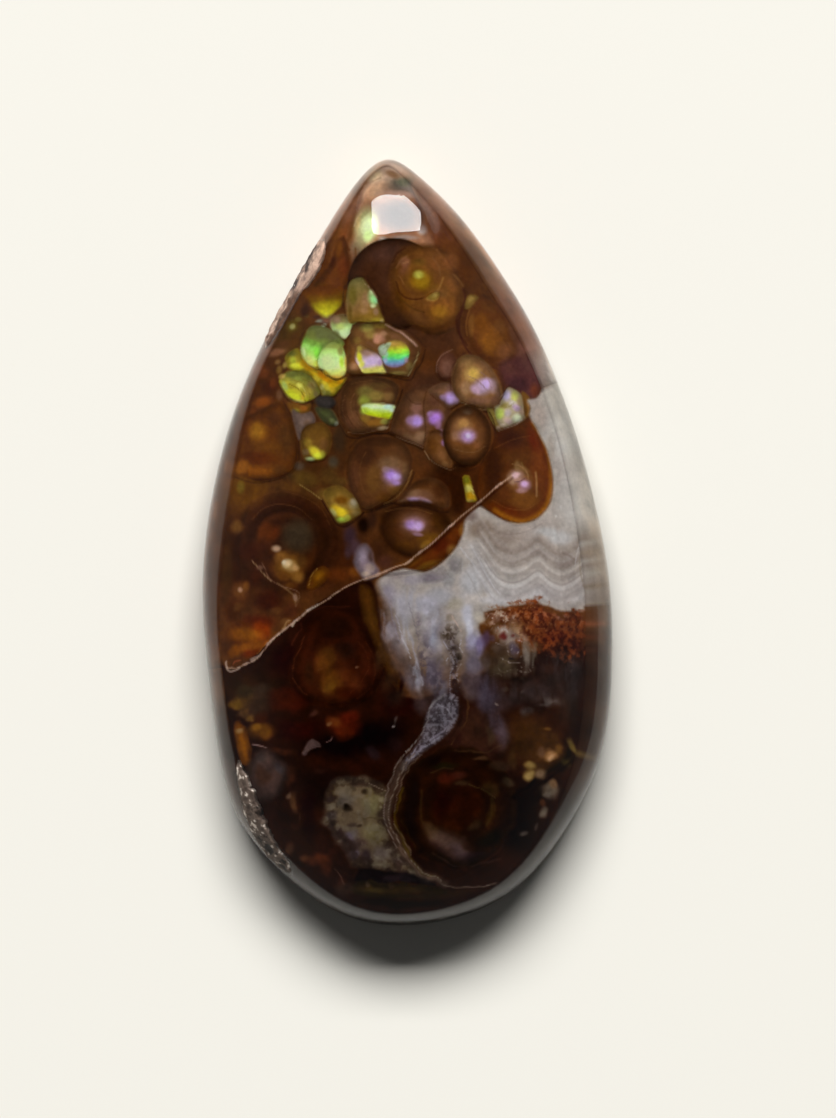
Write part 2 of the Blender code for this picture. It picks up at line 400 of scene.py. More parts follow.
def trail(places, width, fade=0.5, at=None):
    """How near each place lies to an open line: 1 on it, 0 beyond half its width."""
    places = np.array(places)
    half = width / 2
    low, high = places.min(axis=0) - half, places.max(axis=0) + half
    near = np.flatnonzero(((seen > low) & (seen < high)).all(axis=1))
    away = np.full(len(near), 1e9)
    spot = (seen if at is None else at)[near]
    for (x0, y0), (x1, y1) in zip(places[:-1], places[1:]):
        ax, ay, bx, by = spot[:, 0] - x0, spot[:, 1] - y0, x1 - x0, y1 - y0
        share = np.clip((ax * bx + ay * by) / (bx * bx + by * by + 1e-12), 0, 1)
        away = np.minimum(away, (ax - share * bx) ** 2 + (ay - share * by) ** 2)
    cover = np.zeros(len(seen))
    cover[near] = ease((1 - np.sqrt(away) / half) / fade)
    return cover


def drawn(places):
    """An open line through some places, drawn as one soft curve."""
    before_first = 2 * np.array(places[0]) - places[1]
    after_last = 2 * np.array(places[-1]) - places[-2]
    ends = [before_first, *map(np.array, places), after_last]
    line = []
    for before, here, after, beyond in zip(ends, ends[1:], ends[2:], ends[3:]):
        for t in np.arange(CURVE_STEPS) / CURVE_STEPS:
            line.append((
                2 * here + (after - before) * t + (2 * before - 5 * here + 4 * after - beyond) * t**2
                + (3 * here - before - 3 * after + beyond) * t**3
            ) / 2)
    return line + [ends[-2]]


def cloud(size, seed, stretch=1.0, levels=3):
    """Soft noise from 0 to 1 over all places, of a grain size in millimetres."""
    rng = np.random.default_rng(seed)
    x, y = seen[:, 0], seen[:, 1] * stretch
    total, weight, share = np.zeros(len(seen)), 0.0, 1.0
    for _ in range(levels):
        lattice = rng.random((256, 256))
        u, v = x / size + 100.3, y / size + 100.7
        i, j = np.floor(u).astype(int), np.floor(v).astype(int)
        s, t = ease(u - i), ease(v - j)
        i, j = i % 256, j % 256
        i1, j1 = (i + 1) % 256, (j + 1) % 256
        value = (lattice[i, j] * (1 - s) + lattice[i1, j] * s) * (1 - t)
        value += (lattice[i, j1] * (1 - s) + lattice[i1, j1] * s) * t
        total += value * share
        weight += share
        share *= 0.55
        size /= 2.03
    return total / weight


# Grown shapes are never quite regular, and those in the lower stone least of all.
deep = ease((-3.0 - seen[:, 1]) / 4.0)


def uneven(size, seed, levels=2):
    """Noise of both signs, about 1 in size."""
    return np.clip((cloud(size, seed, levels=levels) - 0.5) / 0.2, -1.5, 1.5)


drifted = seen + (0.03 + 0.13 * deep)[:, None] * np.column_stack([uneven(1.5, 71, 3), uneven(1.5, 72, 3)])
frayed_edges = 0.06 * deep * uneven(0.6, 73)


def spots(rows, within=None, edge=0.75):
    """Soft ovals: x, y, half lengths across and along, red, green, blue.

    A row ends with its strength, or its strength and its turn, where these aren't as usual.
    """
    for x, y, across, along, red, green, blue, *others in rows:
        strength, turn = others + USUAL_STRENGTH_AND_TURN[len(others):]
        glow(px(x, y), mm(across), mm(along), turn, (red, green, blue), strength, within, edge)


def strokes(rows, within=None):
    """Drawn lines: width, red, green, blue, strength, and then the places."""
    for row in rows:
        width, red, green, blue, strength = row[:5]
        cover = trail(drawn(px(*row[5:])), mm(width), 1.0, drifted)
        lay(cover if within is None else cover * within, (red, green, blue), strength)


def facet(corners, body, lights=(), fade=2.5, steps=5, shadow=0.32):
    """A closed scale of one body tone, its own lights and painted shade at its rim, domed and leaning up to
    its lower edge.
    """
    corners = np.array(px(*corners))
    depth = depth_inside(corners, steps)
    cover = ease((depth + frayed_edges) / mm(fade) + 0.5)
    lay(cover, body)
    spots(lights, cover)
    # Painted shade: the scale darkens towards its rim by its shadow share.
    tones[:] = tones * (1 - shadow * ease(1 - depth / mm(9)) * cover)[:, None]
    scale(corners, depth, cover)
    return cover


def scale(corners, depth, cover, height=0.09, lean=0.10):
    """Lifts a closed shape as a low scale, domed and leaning up towards its lower edge."""
    reach = min(1.5, 0.45 * np.sqrt(np.prod(np.ptp(corners, axis=0))))
    dome = height * (1 - (1 - np.clip(depth / reach, 0.0, 1.0)) ** 2)
    lower = np.clip(corners[:, 1].mean() - seen[:, 1], -1.5, 1.5)
    rise[:] = rise * (1 - cover) + (0.25 + dome + lean * lower) * cover


def sheen(corners, start, end, stops, bend=0.0, sides=0.0, fade=2.2, height=0.09, lean=0.10):
    """A closed scale whose tone runs through stops, partly painted shade and highlight, from a start to an
    end: share, red, green, blue.
    """
    corners = np.array(px(*corners))
    depth = depth_inside(corners)
    cover = ease(depth / mm(fade) + 0.5)
    start, end = np.array(px(*start)), np.array(px(*end))
    run = end - start
    length = np.linalg.norm(run)
    along = (seen - start) @ run / length**2
    across = ((seen[:, 1] - start[1]) * run[0] - (seen[:, 0] - start[0]) * run[1]) / length**2
    along = along + bend * across**2
    table = np.array(stops)
    tone = np.stack([np.interp(along, table[:, 0], table[:, column]) for column in (1, 2, 3)], axis=1)
    # Painted shade: the scale darkens towards its rim by its sides share.
    tone *= (1 - sides * ease(1 - depth / mm(7)))[:, None]
    tones[:] = tones * (1 - cover[:, None]) + tone * cover[:, None]
    scale(corners, depth, cover, height, lean)
    return cover


def bubble(x, y, across, along, turn, body, crease, crease_share, lights=(), rings=0, ring_strength=0.1,
           fade=0.06):
    """One round agate bubble: a body tone, its lights, a crease tone towards its edge, and painted shade
    towards its rim.
    """
    away = oval_away(px(x, y), mm(across), mm(along), turn)
    cover = ease((1 - away) / fade)
    lay(cover, body)
    spots(lights, cover)
    lay(ease(1 - (1 - away) / crease_share) * cover, crease)
    # Painted shade: the bubble darkens towards its rim.
    tones[:] = tones * (1 - 0.35 * np.clip(away, 0, 1) ** 3 * cover)[:, None]
    if rings:
        wobble = 1.5 * cloud(0.9, int(x + y), levels=2)
        wave = ring_strength * np.sin(away * rings * 2 * math.pi + wobble)
        tones[:] = tones * (1 + wave * cover)[:, None]
    dome = BUBBLE_RISE * np.sqrt(np.maximum(0.0, 1 - away**2))
    rise[:] = rise * (1 - cover) + (0.15 + dome) * cover
    return cover


def veils(rows, grain, low=0.36, high=0.62, within=None):
    """Soft ovals that a grain breaks up, in rows like those of the spots."""
    broken = ease((grain - low) / (high - low))
    spots(rows, broken if within is None else broken * within, 1.0)


def bands(line, profile, reach, within, strength=0.8):
    """Thin layers that follow a wavy line: how far under it, and their red, green, blue."""
    places = np.array(drawn(px(*line)))
    under = (np.interp(seen[:, 0], places[:, 0], places[:, 1]) - seen[:, 1]) / mm(1)
    table = np.array(profile)
    tone = np.stack([np.interp(under, table[:, 0], table[:, column]) for column in (1, 2, 3)], axis=1)
    ends = np.array(px(reach[0], 0, reach[1], 0))[:, 0]
    cover = ease((seen[:, 0] - ends[0]) / mm(12)) * ease((ends[1] - seen[:, 0]) / mm(8))
    cover *= ease((under - table[0, 0]) / 6) * ease((table[-1, 0] - under) / 6)
    whole = (cover * within * strength)[:, None]
    tones[:] = tones * (1 - whole) + tone * whole


# The upper stone, tones of its wide fields first.
grain = cloud(1.6, 3)
tones *= (0.8 + 0.4 * grain)[:, None]
spots((
    (335, 275, 44, 34, 85, 41, 8, 0.95), (345, 240, 22, 30, 118, 62, 20),
    (360, 215, 30, 34, 131, 82, 58, 0.95), (350, 232, 14, 24, 120, 60, 24, 0.9, -20),
    (395, 240, 46, 22, 66, 38, 26, 0.95), (438, 240, 34, 30, 92, 46, 20, 0.95),
    (430, 215, 22, 30, 92, 48, 26, 0.9, 20), (450, 260, 30, 30, 84, 44, 14, 0.95),
    (466, 272, 22, 30, 70, 36, 10), (482, 292, 24, 28, 72, 40, 16, 0.95),
    (505, 320, 24, 30, 96, 52, 30, 0.95), (528, 350, 30, 34, 104, 60, 50, 0.95),
    (515, 365, 24, 22, 88, 46, 38), (470, 345, 40, 30, 80, 44, 20), (440, 340, 34, 26, 58, 33, 19, 0.95),
    (400, 330, 36, 24, 58, 33, 20), (265, 385, 36, 40, 66, 33, 10, 0.95),
    (290, 335, 26, 30, 66, 42, 12, 0.95), (345, 400, 50, 40, 60, 35, 18, 0.95),
    (430, 390, 40, 30, 58, 34, 22, 0.95), (245, 480, 40, 60, 88, 50, 10, 0.95),
    (300, 490, 46, 44, 58, 34, 14, 0.95), (360, 460, 40, 50, 59, 33, 14, 0.95),
    (430, 440, 40, 40, 70, 40, 20), (450, 485, 36, 36, 38, 17, 6, 0.95), (500, 480, 60, 60, 60, 28, 10),
    (240, 560, 40, 60, 45, 20, 6, 0.95), (330, 560, 60, 50, 45, 20, 8),
))

# The tip, where pale and greenish agate meets the brown, with painted reflection at the rims of the softbox's
# glint.
facet((330, 300, 345, 250, 352, 210, 362, 185, 375, 168, 392, 160, 408, 168, 420, 195, 424, 225, 430, 250,
        380, 262, 358, 262, 345, 290), (150, 96, 66), (
    (385, 172, 34, 20, 196, 158, 130, 0.95), (372, 172, 14, 12, 216, 186, 140),
    (392, 168, 16, 9, 208, 176, 156, 0.8), (378, 190, 18, 14, 200, 152, 116),
    (366, 192, 12, 14, 208, 150, 110, 0.7), (396, 190, 20, 14, 120, 92, 74),
    (402, 183, 22, 13, 80, 72, 60, 0.95, -8), (404, 180, 14, 7, 70, 70, 46),
    (392, 172, 12, 6, 96, 62, 34, 0.8, -20), (410, 190, 14, 12, 104, 84, 74, 0.8),
    (352, 205, 12, 26, 132, 78, 48, 0.95, -12), (345, 235, 14, 30, 122, 62, 20, 0.95, -14),
    (385, 215, 30, 20, 84, 62, 54), (402, 216, 26, 22, 44, 32, 30, 0.95),
    # The pale ovals at (398, 194), (421, 229), (384, 240) and (404, 237) are painted reflection that softens
    # and widens the rims of the softbox's glint.
    (398, 194, 30, 6, 176, 132, 114, 0.8), (358, 250, 12, 18, 125, 104, 72, 0.95, -10),
    (366, 226, 17, 26, 180, 186, 116, 0.95, -6), (421, 229, 7, 7, 190, 184, 180),
    (384, 240, 9, 5, 176, 168, 158, 0.8, -30), (404, 237, 20, 3.5, 150, 138, 132, 0.7),
    (370, 228, 10, 17, 214, 244, 160, 1.0, -8), (368, 236, 6, 8, 200, 240, 130, 0.9, -10),
    (358, 222, 5, 12, 190, 150, 90, 0.7, -10), (352, 262, 12, 20, 96, 60, 40, 0.9, -14),
    (420, 212, 10, 30, 110, 72, 60, 0.7, 8),
), fade=8)
strokes((
    (4, 70, 30, 12, 0.8, 343, 236, 346, 243, 350, 250), (3, 86, 46, 22, 0.7, 356, 248, 357, 262, 360, 272),
    (3, 190, 150, 110, 0.5, 354, 226, 358, 216, 364, 210),
    (3, 130, 96, 70, 0.6, 362, 184, 370, 180, 380, 176),
    (3, 112, 78, 58, 0.6, 410, 172, 418, 190, 424, 205, 428, 222),
    (6, 84, 44, 26, 0.8, 422, 186, 430, 204, 440, 222, 452, 238),
    (5, 128, 70, 40, 0.6, 330, 262, 334, 248, 339, 236),
))
facet((330, 262, 336, 240, 344, 238, 350, 252, 352, 270, 350, 284, 344, 300, 320, 300, 306, 300, 312, 286,
        322, 274), (84, 42, 12), (
    (336, 246, 10, 14, 128, 66, 16), (345, 266, 10, 16, 92, 40, 14), (332, 262, 6, 8, 60, 24, 8, 0.8),
    (318, 288, 14, 10, 86, 48, 8), (336, 285, 12, 14, 92, 46, 18, 0.8), (325, 297, 16, 7, 94, 66, 8),
), fade=6)

# The bubble below the tip.
bubble(394, 284, 47, 47, 0, (58, 33, 20), (44, 24, 12), 0.25, (
    (385, 250, 40, 18, 68, 42, 32), (368, 285, 16, 34, 52, 28, 14), (392, 306, 34, 20, 54, 30, 14),
    (420, 250, 28, 16, 84, 50, 28), (430, 270, 20, 34, 96, 58, 22, 0.8),
), fade=0.05)
facet((398, 254, 412, 246, 430, 246, 446, 252, 454, 268, 460, 284, 462, 300, 457, 318, 446, 328, 430, 332,
        414, 326, 402, 312, 394, 296, 390, 276), (90, 52, 20), (
    (400, 300, 14, 20, 78, 44, 12, 0.8), (420, 318, 20, 12, 84, 50, 24, 0.8),
    (440, 262, 16, 14, 104, 60, 26, 0.8), (452, 285, 10, 20, 100, 58, 26, 0.8),
), fade=9)
bubble(418, 275, 22, 22, 0, (100, 58, 22), (66, 34, 14), 0.3, (
    (402, 268, 10, 12, 122, 70, 44), (420, 262, 12, 6, 92, 62, 20, 0.8),
    (421, 281, 15, 14, 118, 82, 12, 0.95), (424, 284, 8, 7, 136, 100, 12, 0.8),
    (419, 275, 9, 7, 160, 156, 50, 1.0), (418, 274, 5, 4, 190, 190, 84, 1.0),
    (410, 292, 14, 6, 96, 54, 24, 0.7),
), rings=2.5, ring_strength=0.07, fade=0.3)
spots((
    (419, 278, 20, 18, 104, 66, 16, 0.5), (420, 280, 12, 11, 132, 96, 16, 0.7),
    (418, 275, 7, 6, 172, 168, 60), (432, 290, 12, 7, 120, 82, 18, 0.7, 30),
    (436, 262, 18, 12, 100, 56, 24, 0.7), (452, 262, 12, 14, 112, 62, 30, 0.7),
    (404, 262, 9, 7, 118, 72, 50, 0.7), (446, 300, 10, 16, 122, 76, 22, 0.7),
))
strokes((
    (3.5, 128, 82, 54, 0.5, 396, 268, 400, 261, 406, 256),
    (3.5, 120, 80, 44, 0.35, 432, 258, 438, 266, 440, 276),
    (2.5, 148, 100, 60, 0.5, 401, 264, 404, 263, 408, 262),
    (2.5, 128, 80, 44, 0.5, 398, 276, 402, 280, 404, 284),
    (3, 44, 22, 10, 0.8, 396, 282, 400, 292, 408, 298, 418, 299, 426, 297),
    (3, 40, 20, 10, 0.7, 392, 262, 396, 254, 404, 248), (5, 118, 68, 34, 0.5, 436, 250, 442, 258, 446, 262),
))
bubble(439, 306, 20, 24, 15, (108, 62, 24), (70, 38, 14), 0.3, (
    (440, 312, 14, 11, 124, 78, 20, 0.95), (425, 302, 7, 10, 112, 66, 28),
    (442, 292, 14, 8, 104, 66, 30, 0.8), (452, 296, 7, 12, 96, 56, 22, 0.7),
    (438, 322, 10, 6, 110, 68, 22, 0.7),
), rings=3, ring_strength=0.04, fade=0.5)
facet((426, 299, 430, 295, 436, 292, 439, 294, 437, 299, 432, 301), (170, 130, 50),
        ((434, 295, 4, 3, 190, 154, 70, 0.9, 20),), fade=2.5)
strokes((
    (4, 140, 98, 44, 0.5, 436, 292, 440, 286, 443, 278), (4, 120, 76, 40, 0.5, 453, 275, 459, 281, 462, 286),
    (4, 48, 22, 12, 0.85, 462, 290, 464, 300, 460, 310, 456, 320, 458, 334, 466, 346),
    (5, 56, 34, 16, 0.8, 424, 332, 440, 334, 452, 330), (3, 60, 40, 14, 0.6, 402, 300, 412, 308, 424, 312),
))

# The orange-brown oval to the right, against the wall.
facet((468, 302, 474, 295, 488, 298, 502, 310, 512, 324, 519, 340, 516, 354, 505, 362, 492, 362, 480, 356,
        470, 344, 464, 326, 465, 312), (84, 44, 16), (
    (494, 338, 22, 26, 102, 56, 16, 0.95, 10), (487, 344, 12, 14, 116, 66, 18, 0.8),
    (500, 326, 12, 10, 104, 60, 24, 0.8, 40), (480, 322, 12, 14, 98, 52, 12), (490, 306, 14, 10, 86, 48, 18),
    (470, 326, 5, 18, 112, 68, 26, 0.8), (508, 350, 12, 12, 112, 66, 34, 0.7),
    (476, 350, 12, 10, 84, 42, 16, 0.8), (516, 334, 8, 20, 104, 64, 44, 0.7, 20),
    (506, 352, 16, 14, 96, 54, 28, 0.8, -30),
), fade=12, shadow=0.2)
facet((464, 308, 466, 299, 470, 295, 478, 297, 474, 302, 469, 308), (150, 112, 44),
        ((470, 299, 5, 4, 170, 134, 60, 0.9, 30),), fade=4)
strokes((
    (3, 134, 84, 36, 0.5, 468, 310, 465, 322, 466, 336),
    (3, 46, 20, 14, 0.8, 461, 310, 458, 322, 460, 338, 466, 350, 476, 360),
    (4, 60, 36, 20, 0.6, 484, 294, 500, 306, 514, 324, 526, 346),
    (3, 56, 28, 20, 0.7, 486, 366, 500, 372, 508, 384),
))
facet((500, 366, 520, 356, 540, 350, 548, 372, 542, 388, 534, 400, 524, 396, 510, 388, 503, 384),
        (74, 38, 36), (
    (518, 384, 16, 12, 54, 27, 30, 0.95), (530, 364, 14, 12, 84, 48, 44, 0.8),
    (536, 390, 8, 10, 104, 46, 26, 0.8),
), fade=10, shadow=0.1)
spots(((508, 368, 18, 12, 76, 42, 34, 0.7, -30), (524, 352, 12, 16, 96, 58, 42, 0.6, 20)), None, 1.0)
bubble(446, 366, 12, 16, -10, (84, 50, 36), (52, 30, 20), 0.5, ((447, 368, 8, 12, 108, 70, 56, 0.8),),
        fade=0.3)
strokes(((2.5, 118, 82, 66, 0.5, 436, 372, 437, 362, 443, 354, 452, 350),))

# The yellow wedge, and the grey-green facet with its pale lower corner.
sheen((302, 291, 322, 287, 345, 290, 342, 304, 336, 311, 328, 318, 321, 314, 314, 308, 308, 300), (323, 288),
        (327, 318), (
    (0, 92, 46, 8), (0.35, 94, 62, 10), (0.5, 130, 108, 14), (0.7, 164, 150, 22), (0.85, 208, 198, 34),
    (1.0, 216, 208, 76),
), bend=-0.25, fade=6)
spots((
    (324, 291, 24, 8, 84, 42, 12), (292, 326, 9, 9, 84, 66, 18), (292, 326, 4.5, 4, 168, 156, 88, 1.0),
    (298, 319, 6, 4, 104, 86, 34), (307, 316, 4, 3, 84, 64, 28, 0.8),
    (275, 352, 16, 6, 126, 76, 50, 0.95, 10), (284, 344, 12, 8, 74, 42, 22, 0.8),
    (270, 336, 8, 14, 92, 76, 66, 0.7, -30), (296, 340, 9, 14, 66, 38, 14), (305, 310, 8, 10, 44, 24, 16),
    (324, 322, 10, 5, 90, 66, 58, 0.9, 10), (334, 320, 8, 7, 118, 88, 70),
    (320, 322, 5, 2.5, 110, 112, 96, 0.9, 20), (325, 326, 4, 2.5, 150, 166, 140, 0.95, 30),
    (327, 321, 4, 2.5, 130, 76, 56, 0.8), (333, 326, 3, 4, 150, 124, 112, 0.8),
    (318, 318, 6, 3, 50, 30, 24, 0.8),
))
sheen((332, 322, 336, 316, 345, 314, 354, 317, 357, 321, 354, 329, 351, 333, 346, 339, 341, 337, 336, 334,
        333, 330), (344, 316), (345, 338), (
    (0, 88, 70, 40), (0.25, 112, 104, 58), (0.42, 144, 178, 96), (0.55, 184, 230, 130), (0.7, 204, 250, 160),
    (0.9, 216, 255, 170), (1.0, 226, 244, 150),
), bend=0.1, sides=0.12, fade=2)
spots((
    (337, 320, 6, 6, 126, 96, 74, 0.85), (351, 320, 6, 4, 96, 96, 56, 0.8),
    (340, 327, 8, 6, 150, 164, 70, 0.6),
))

# The orange and yellow fold, and the green pair of lobes above it.
facet((286, 356, 292, 351, 299, 349, 303, 356, 307, 363, 313, 368, 320, 371, 328, 377, 337, 381, 347, 378,
        344, 384, 339, 391, 334, 396, 327, 397, 323, 396, 321, 390, 317, 383, 312, 376, 304, 373, 295, 371,
        289, 368, 286, 362), (150, 128, 30), (
    (292, 354, 8, 6, 96, 94, 34), (298, 360, 9, 6, 150, 128, 30, 0.9, 20), (293, 361, 5, 6, 146, 156, 40),
    (297, 367, 11, 5, 204, 206, 36, 1.0, 5), (294, 366, 6, 3.5, 226, 228, 52, 1.0, 5),
    (304, 364, 6, 6, 196, 142, 20, 0.95, -30), (309, 369, 8, 4, 176, 122, 14, 1.0, -25),
    (315, 375, 9, 4.5, 230, 176, 24, 1.0, -42), (317, 379, 6, 3, 240, 206, 50, 1.0, -50),
    (323, 376, 9, 4.5, 208, 118, 10, 1.0, -35), (329, 381, 10, 4, 220, 138, 14, 1.0, -20),
    (333, 385, 10, 5, 236, 176, 22, 1.0, 20), (340, 381, 6, 4, 226, 146, 20, 1.0, 30),
    (325, 384, 5, 3, 226, 190, 40, 0.9, -30), (326, 388, 7, 4.5, 196, 178, 50, 0.95, -20),
    (322, 387, 3, 4, 214, 200, 110, 0.8), (328, 393, 6, 4, 116, 112, 40, 0.95),
    (324, 392, 3, 5, 150, 144, 70, 0.8), (333, 390, 4, 5, 206, 166, 40, 0.9, -30),
), fade=2.2)
sheen((309, 329, 314, 326, 322, 326, 332, 330, 341, 337, 345, 344, 338, 350, 324, 350, 321, 354, 318, 360,
        319, 369, 312, 367, 306, 362, 303, 356, 302, 349, 304, 341, 307, 334), (322, 326), (309, 367), (
    (0, 80, 84, 44), (0.22, 92, 98, 48), (0.36, 104, 128, 50), (0.46, 120, 190, 62), (0.56, 128, 226, 72),
    (0.68, 156, 232, 84), (0.8, 214, 250, 118), (0.92, 232, 232, 96), (1.0, 196, 160, 50),
), bend=0.15, sides=0.15)
spots((
    (334, 336, 10, 8, 84, 86, 50, 0.95, 20), (322, 334, 12, 8, 84, 88, 48, 0.9, 20),
    (313, 335, 6, 7, 98, 104, 44, 0.8), (328, 345, 9, 5, 92, 112, 52), (307, 347, 5, 5, 150, 222, 96, 0.8),
    (304, 352, 3, 7, 214, 255, 150, 0.95, 8), (317, 353, 4, 8, 116, 228, 56, 0.95, 8),
    (313, 343, 6, 4, 104, 150, 52, 0.8, -20), (309, 359, 5, 4, 236, 246, 110, 0.9, -35),
    (316, 364, 4, 5, 178, 200, 60, 0.8), (318, 368, 4, 2.5, 150, 128, 34),
))
sheen((325, 346, 331, 341, 338, 342, 343, 347, 346, 356, 347, 366, 346, 373, 342, 378, 336, 379, 330, 376,
        325, 371, 320, 368, 318, 361, 320, 353), (331, 341), (336, 379), (
    (0, 104, 112, 54), (0.14, 122, 142, 64), (0.26, 164, 222, 100), (0.4, 190, 255, 128),
    (0.55, 206, 255, 150), (0.7, 216, 255, 146), (0.82, 226, 250, 108), (0.92, 236, 220, 84),
    (1.0, 226, 160, 50),
), bend=0.2, sides=0.1)
spots((
    (341, 350, 5, 8, 128, 128, 58, 0.95), (336, 346, 8, 4, 124, 136, 56, 0.8),
    (342, 362, 3.5, 9, 178, 226, 56, 0.95), (346, 362, 1.8, 10, 206, 160, 60),
    (343, 373, 4, 4, 206, 206, 100, 0.9, 20), (322, 362, 3, 6, 190, 255, 140, 0.8),
    (327, 373, 6, 2.5, 236, 200, 60, 0.9, -35), (335, 377, 7, 2.5, 238, 176, 60, 0.9, -10),
    (328, 361, 9, 10, 222, 255, 150, 0.8, -20),
))
strokes((
    (2.5, 84, 150, 40, 0.7, 323, 348, 320, 354, 318, 361),
    (3, 120, 110, 26, 0.7, 318, 361, 318, 367, 321, 370),
    (2.5, 70, 42, 14, 0.8, 349, 346, 350, 360, 349, 372, 345, 380),
    (3, 54, 32, 12, 0.8, 300, 345, 304, 334, 310, 327, 320, 324, 330, 328),
    (2.5, 150, 92, 14, 0.8, 303, 360, 308, 366, 315, 370, 322, 373),
))

# The yellow-green bubble at the left, with its fine growth lines.
sheen((284, 377, 288, 372, 297, 371, 306, 373, 313, 378, 318, 386, 321, 393, 316, 398, 310, 401, 303, 403,
        296, 401, 289, 397, 284, 389, 280, 381), (307, 373), (291, 400), (
    (0, 86, 86, 34), (0.25, 104, 104, 36), (0.45, 140, 130, 42), (0.6, 164, 150, 36), (0.75, 190, 192, 34),
    (0.88, 226, 236, 46), (1.0, 204, 196, 76),
), bend=-0.2, sides=0.15)
spots((
    (292, 375, 9, 4, 80, 84, 34, 0.9, 10), (312, 386, 7, 8, 112, 92, 50),
    (300, 385, 5, 4.5, 196, 188, 66, 0.95), (308, 391, 7, 6, 168, 142, 48),
    (285, 386, 4, 7, 150, 172, 76, 0.95, 25), (294, 396, 8, 4, 226, 238, 40, 1.0, -25),
    (303, 396, 3, 6, 206, 160, 40, 0.9, -15), (300, 401, 9, 2, 226, 216, 100, 0.9, -5),
    (292, 386, 5, 4, 150, 130, 30), (316, 394, 4, 5, 100, 82, 52), (298, 378, 8, 3, 110, 120, 46, 0.8),
))
strokes((
    (1.6, 92, 70, 14, 0.7, 290, 384, 298, 388, 303, 395, 306, 402),
    (1.6, 110, 84, 20, 0.6, 294, 380, 304, 384, 309, 392, 310, 400),
    (1.6, 96, 72, 20, 0.5, 302, 378, 311, 383, 315, 391),
    (1.5, 216, 206, 96, 0.5, 297, 383, 304, 389, 306, 397),
    (2.5, 40, 24, 10, 0.85, 279, 384, 284, 394, 292, 403, 304, 406, 316, 402, 322, 396),
    (2, 76, 70, 22, 0.7, 283, 376, 290, 372, 300, 371, 308, 374),
))
facet((290, 403, 303, 406, 311, 404, 310, 411, 304, 415, 296, 414, 291, 409), (124, 76, 22),
        ((304, 408, 6, 4, 172, 92, 30), (296, 411, 7, 4, 138, 124, 34),), fade=4)
spots((
    (262, 402, 16, 8, 128, 60, 16, 0.95, 8), (268, 388, 12, 10, 54, 24, 10), (262, 372, 8, 8, 96, 44, 18),
    (282, 377, 5, 4, 168, 132, 60, 0.95, 20), (279, 370, 5, 7, 120, 84, 34), (285, 366, 4, 5, 150, 118, 50),
    (277, 362, 5, 4, 128, 88, 44, 0.8), (280, 395, 5, 8, 104, 68, 46, 0.7),
    (252, 412, 6, 10, 92, 42, 14, 0.8), (273, 384, 5, 8, 90, 40, 14, 0.8),
))

# The olive leaf, green at its right edge.
leaf = sheen((350, 283, 356, 278, 363, 278, 369, 286, 374, 293, 378, 303, 381, 312, 384, 323, 372, 323,
        360, 322, 350, 323, 347, 310, 347, 296), (356, 278), (368, 323), (
    (0, 110, 100, 52), (0.3, 112, 92, 46), (0.6, 122, 86, 48), (0.85, 118, 84, 30), (1.0, 150, 118, 40),
), sides=0.2)
spots((
    (353, 296, 6, 16, 86, 74, 26), (366, 300, 6, 12, 140, 100, 64),
    (373, 299, 7, 11, 132, 170, 96, 0.95, 18), (374, 300, 4.5, 6, 150, 236, 136, 1.0, 18),
    (376, 301, 2.5, 4, 136, 236, 150, 0.9, 15), (373, 306, 4, 3, 206, 216, 150),
    (372, 293, 3, 4, 170, 190, 130, 0.8, 25), (364, 311, 6, 5, 140, 98, 62, 0.8),
    (376, 312, 4, 5, 150, 110, 80), (377, 320, 8, 3, 166, 140, 38, 0.95),
    (382, 321, 3, 3, 190, 164, 96, 0.8), (350, 312, 4, 10, 84, 62, 22, 0.8),
), leaf)
strokes((
    (2, 170, 130, 96, 0.5, 366, 284, 372, 290, 377, 298),
    (2.5, 50, 30, 14, 0.8, 345, 286, 344, 300, 346, 316),
    (2.5, 40, 20, 10, 0.8, 368, 280, 376, 291, 381, 302, 384, 314),
))

# The cluster of many-sided facets in the middle.
facet((353, 325, 366, 323, 383, 322, 393, 327, 404, 332, 413, 340, 420, 348, 418, 358, 413, 367, 408, 377,
        396, 375, 380, 373, 364, 374, 350, 374, 347, 368, 349, 345), (94, 60, 32), (
    (411, 352, 8, 12, 84, 50, 28), (398, 338, 14, 7, 104, 66, 40, 0.9, -25), (409, 367, 5, 8, 120, 96, 50),
    (352, 355, 5, 18, 110, 66, 30), (354, 366, 7, 6, 146, 98, 66), (398, 373, 14, 3, 140, 118, 56),
    (368, 328, 11, 7, 128, 116, 50, 0.95), (372, 335, 9, 6, 120, 96, 44),
    (380, 338, 9, 6, 176, 118, 92, 0.95, -25), (377, 341, 5, 4, 190, 124, 100, 0.9, -25),
    (384, 334, 5, 4, 166, 116, 84, 0.8), (382, 326, 12, 4, 118, 92, 34),
    (372, 345, 8, 4, 92, 58, 36, 0.9, -20), (358, 340, 6, 5, 104, 80, 34, 0.8),
    (404, 344, 6, 6, 96, 58, 34, 0.8),
), fade=2.2, steps=3)
strokes((
    (4, 156, 110, 92, 0.8, 386, 325, 394, 329, 402, 333, 410, 340, 416, 346),
    (2, 176, 140, 120, 0.6, 400, 332, 408, 338, 415, 345),
    (2, 150, 130, 76, 0.7, 418, 352, 415, 361, 411, 369, 408, 376),
    (3, 36, 20, 12, 0.85, 424, 350, 421, 362, 415, 371, 410, 380, 396, 378, 380, 376, 364, 377, 350, 377),
    (3, 46, 26, 16, 0.7, 386, 319, 396, 325, 408, 331, 418, 340, 425, 348),
    (2, 84, 52, 26, 0.6, 362, 342, 370, 346, 378, 352, 382, 358),
))
sheen((356, 352, 360, 345, 368, 349, 376, 353, 381, 358, 383, 366, 386, 373, 375, 373, 364, 373, 360, 367,
        356, 360), (368, 348), (373, 374), (
    (0, 116, 84, 46), (0.2, 140, 104, 84), (0.38, 206, 170, 196), (0.55, 224, 190, 240),
    (0.68, 220, 184, 214), (0.78, 226, 204, 110), (0.9, 226, 220, 80), (1.0, 206, 190, 90),
), bend=0.1, sides=0.05)
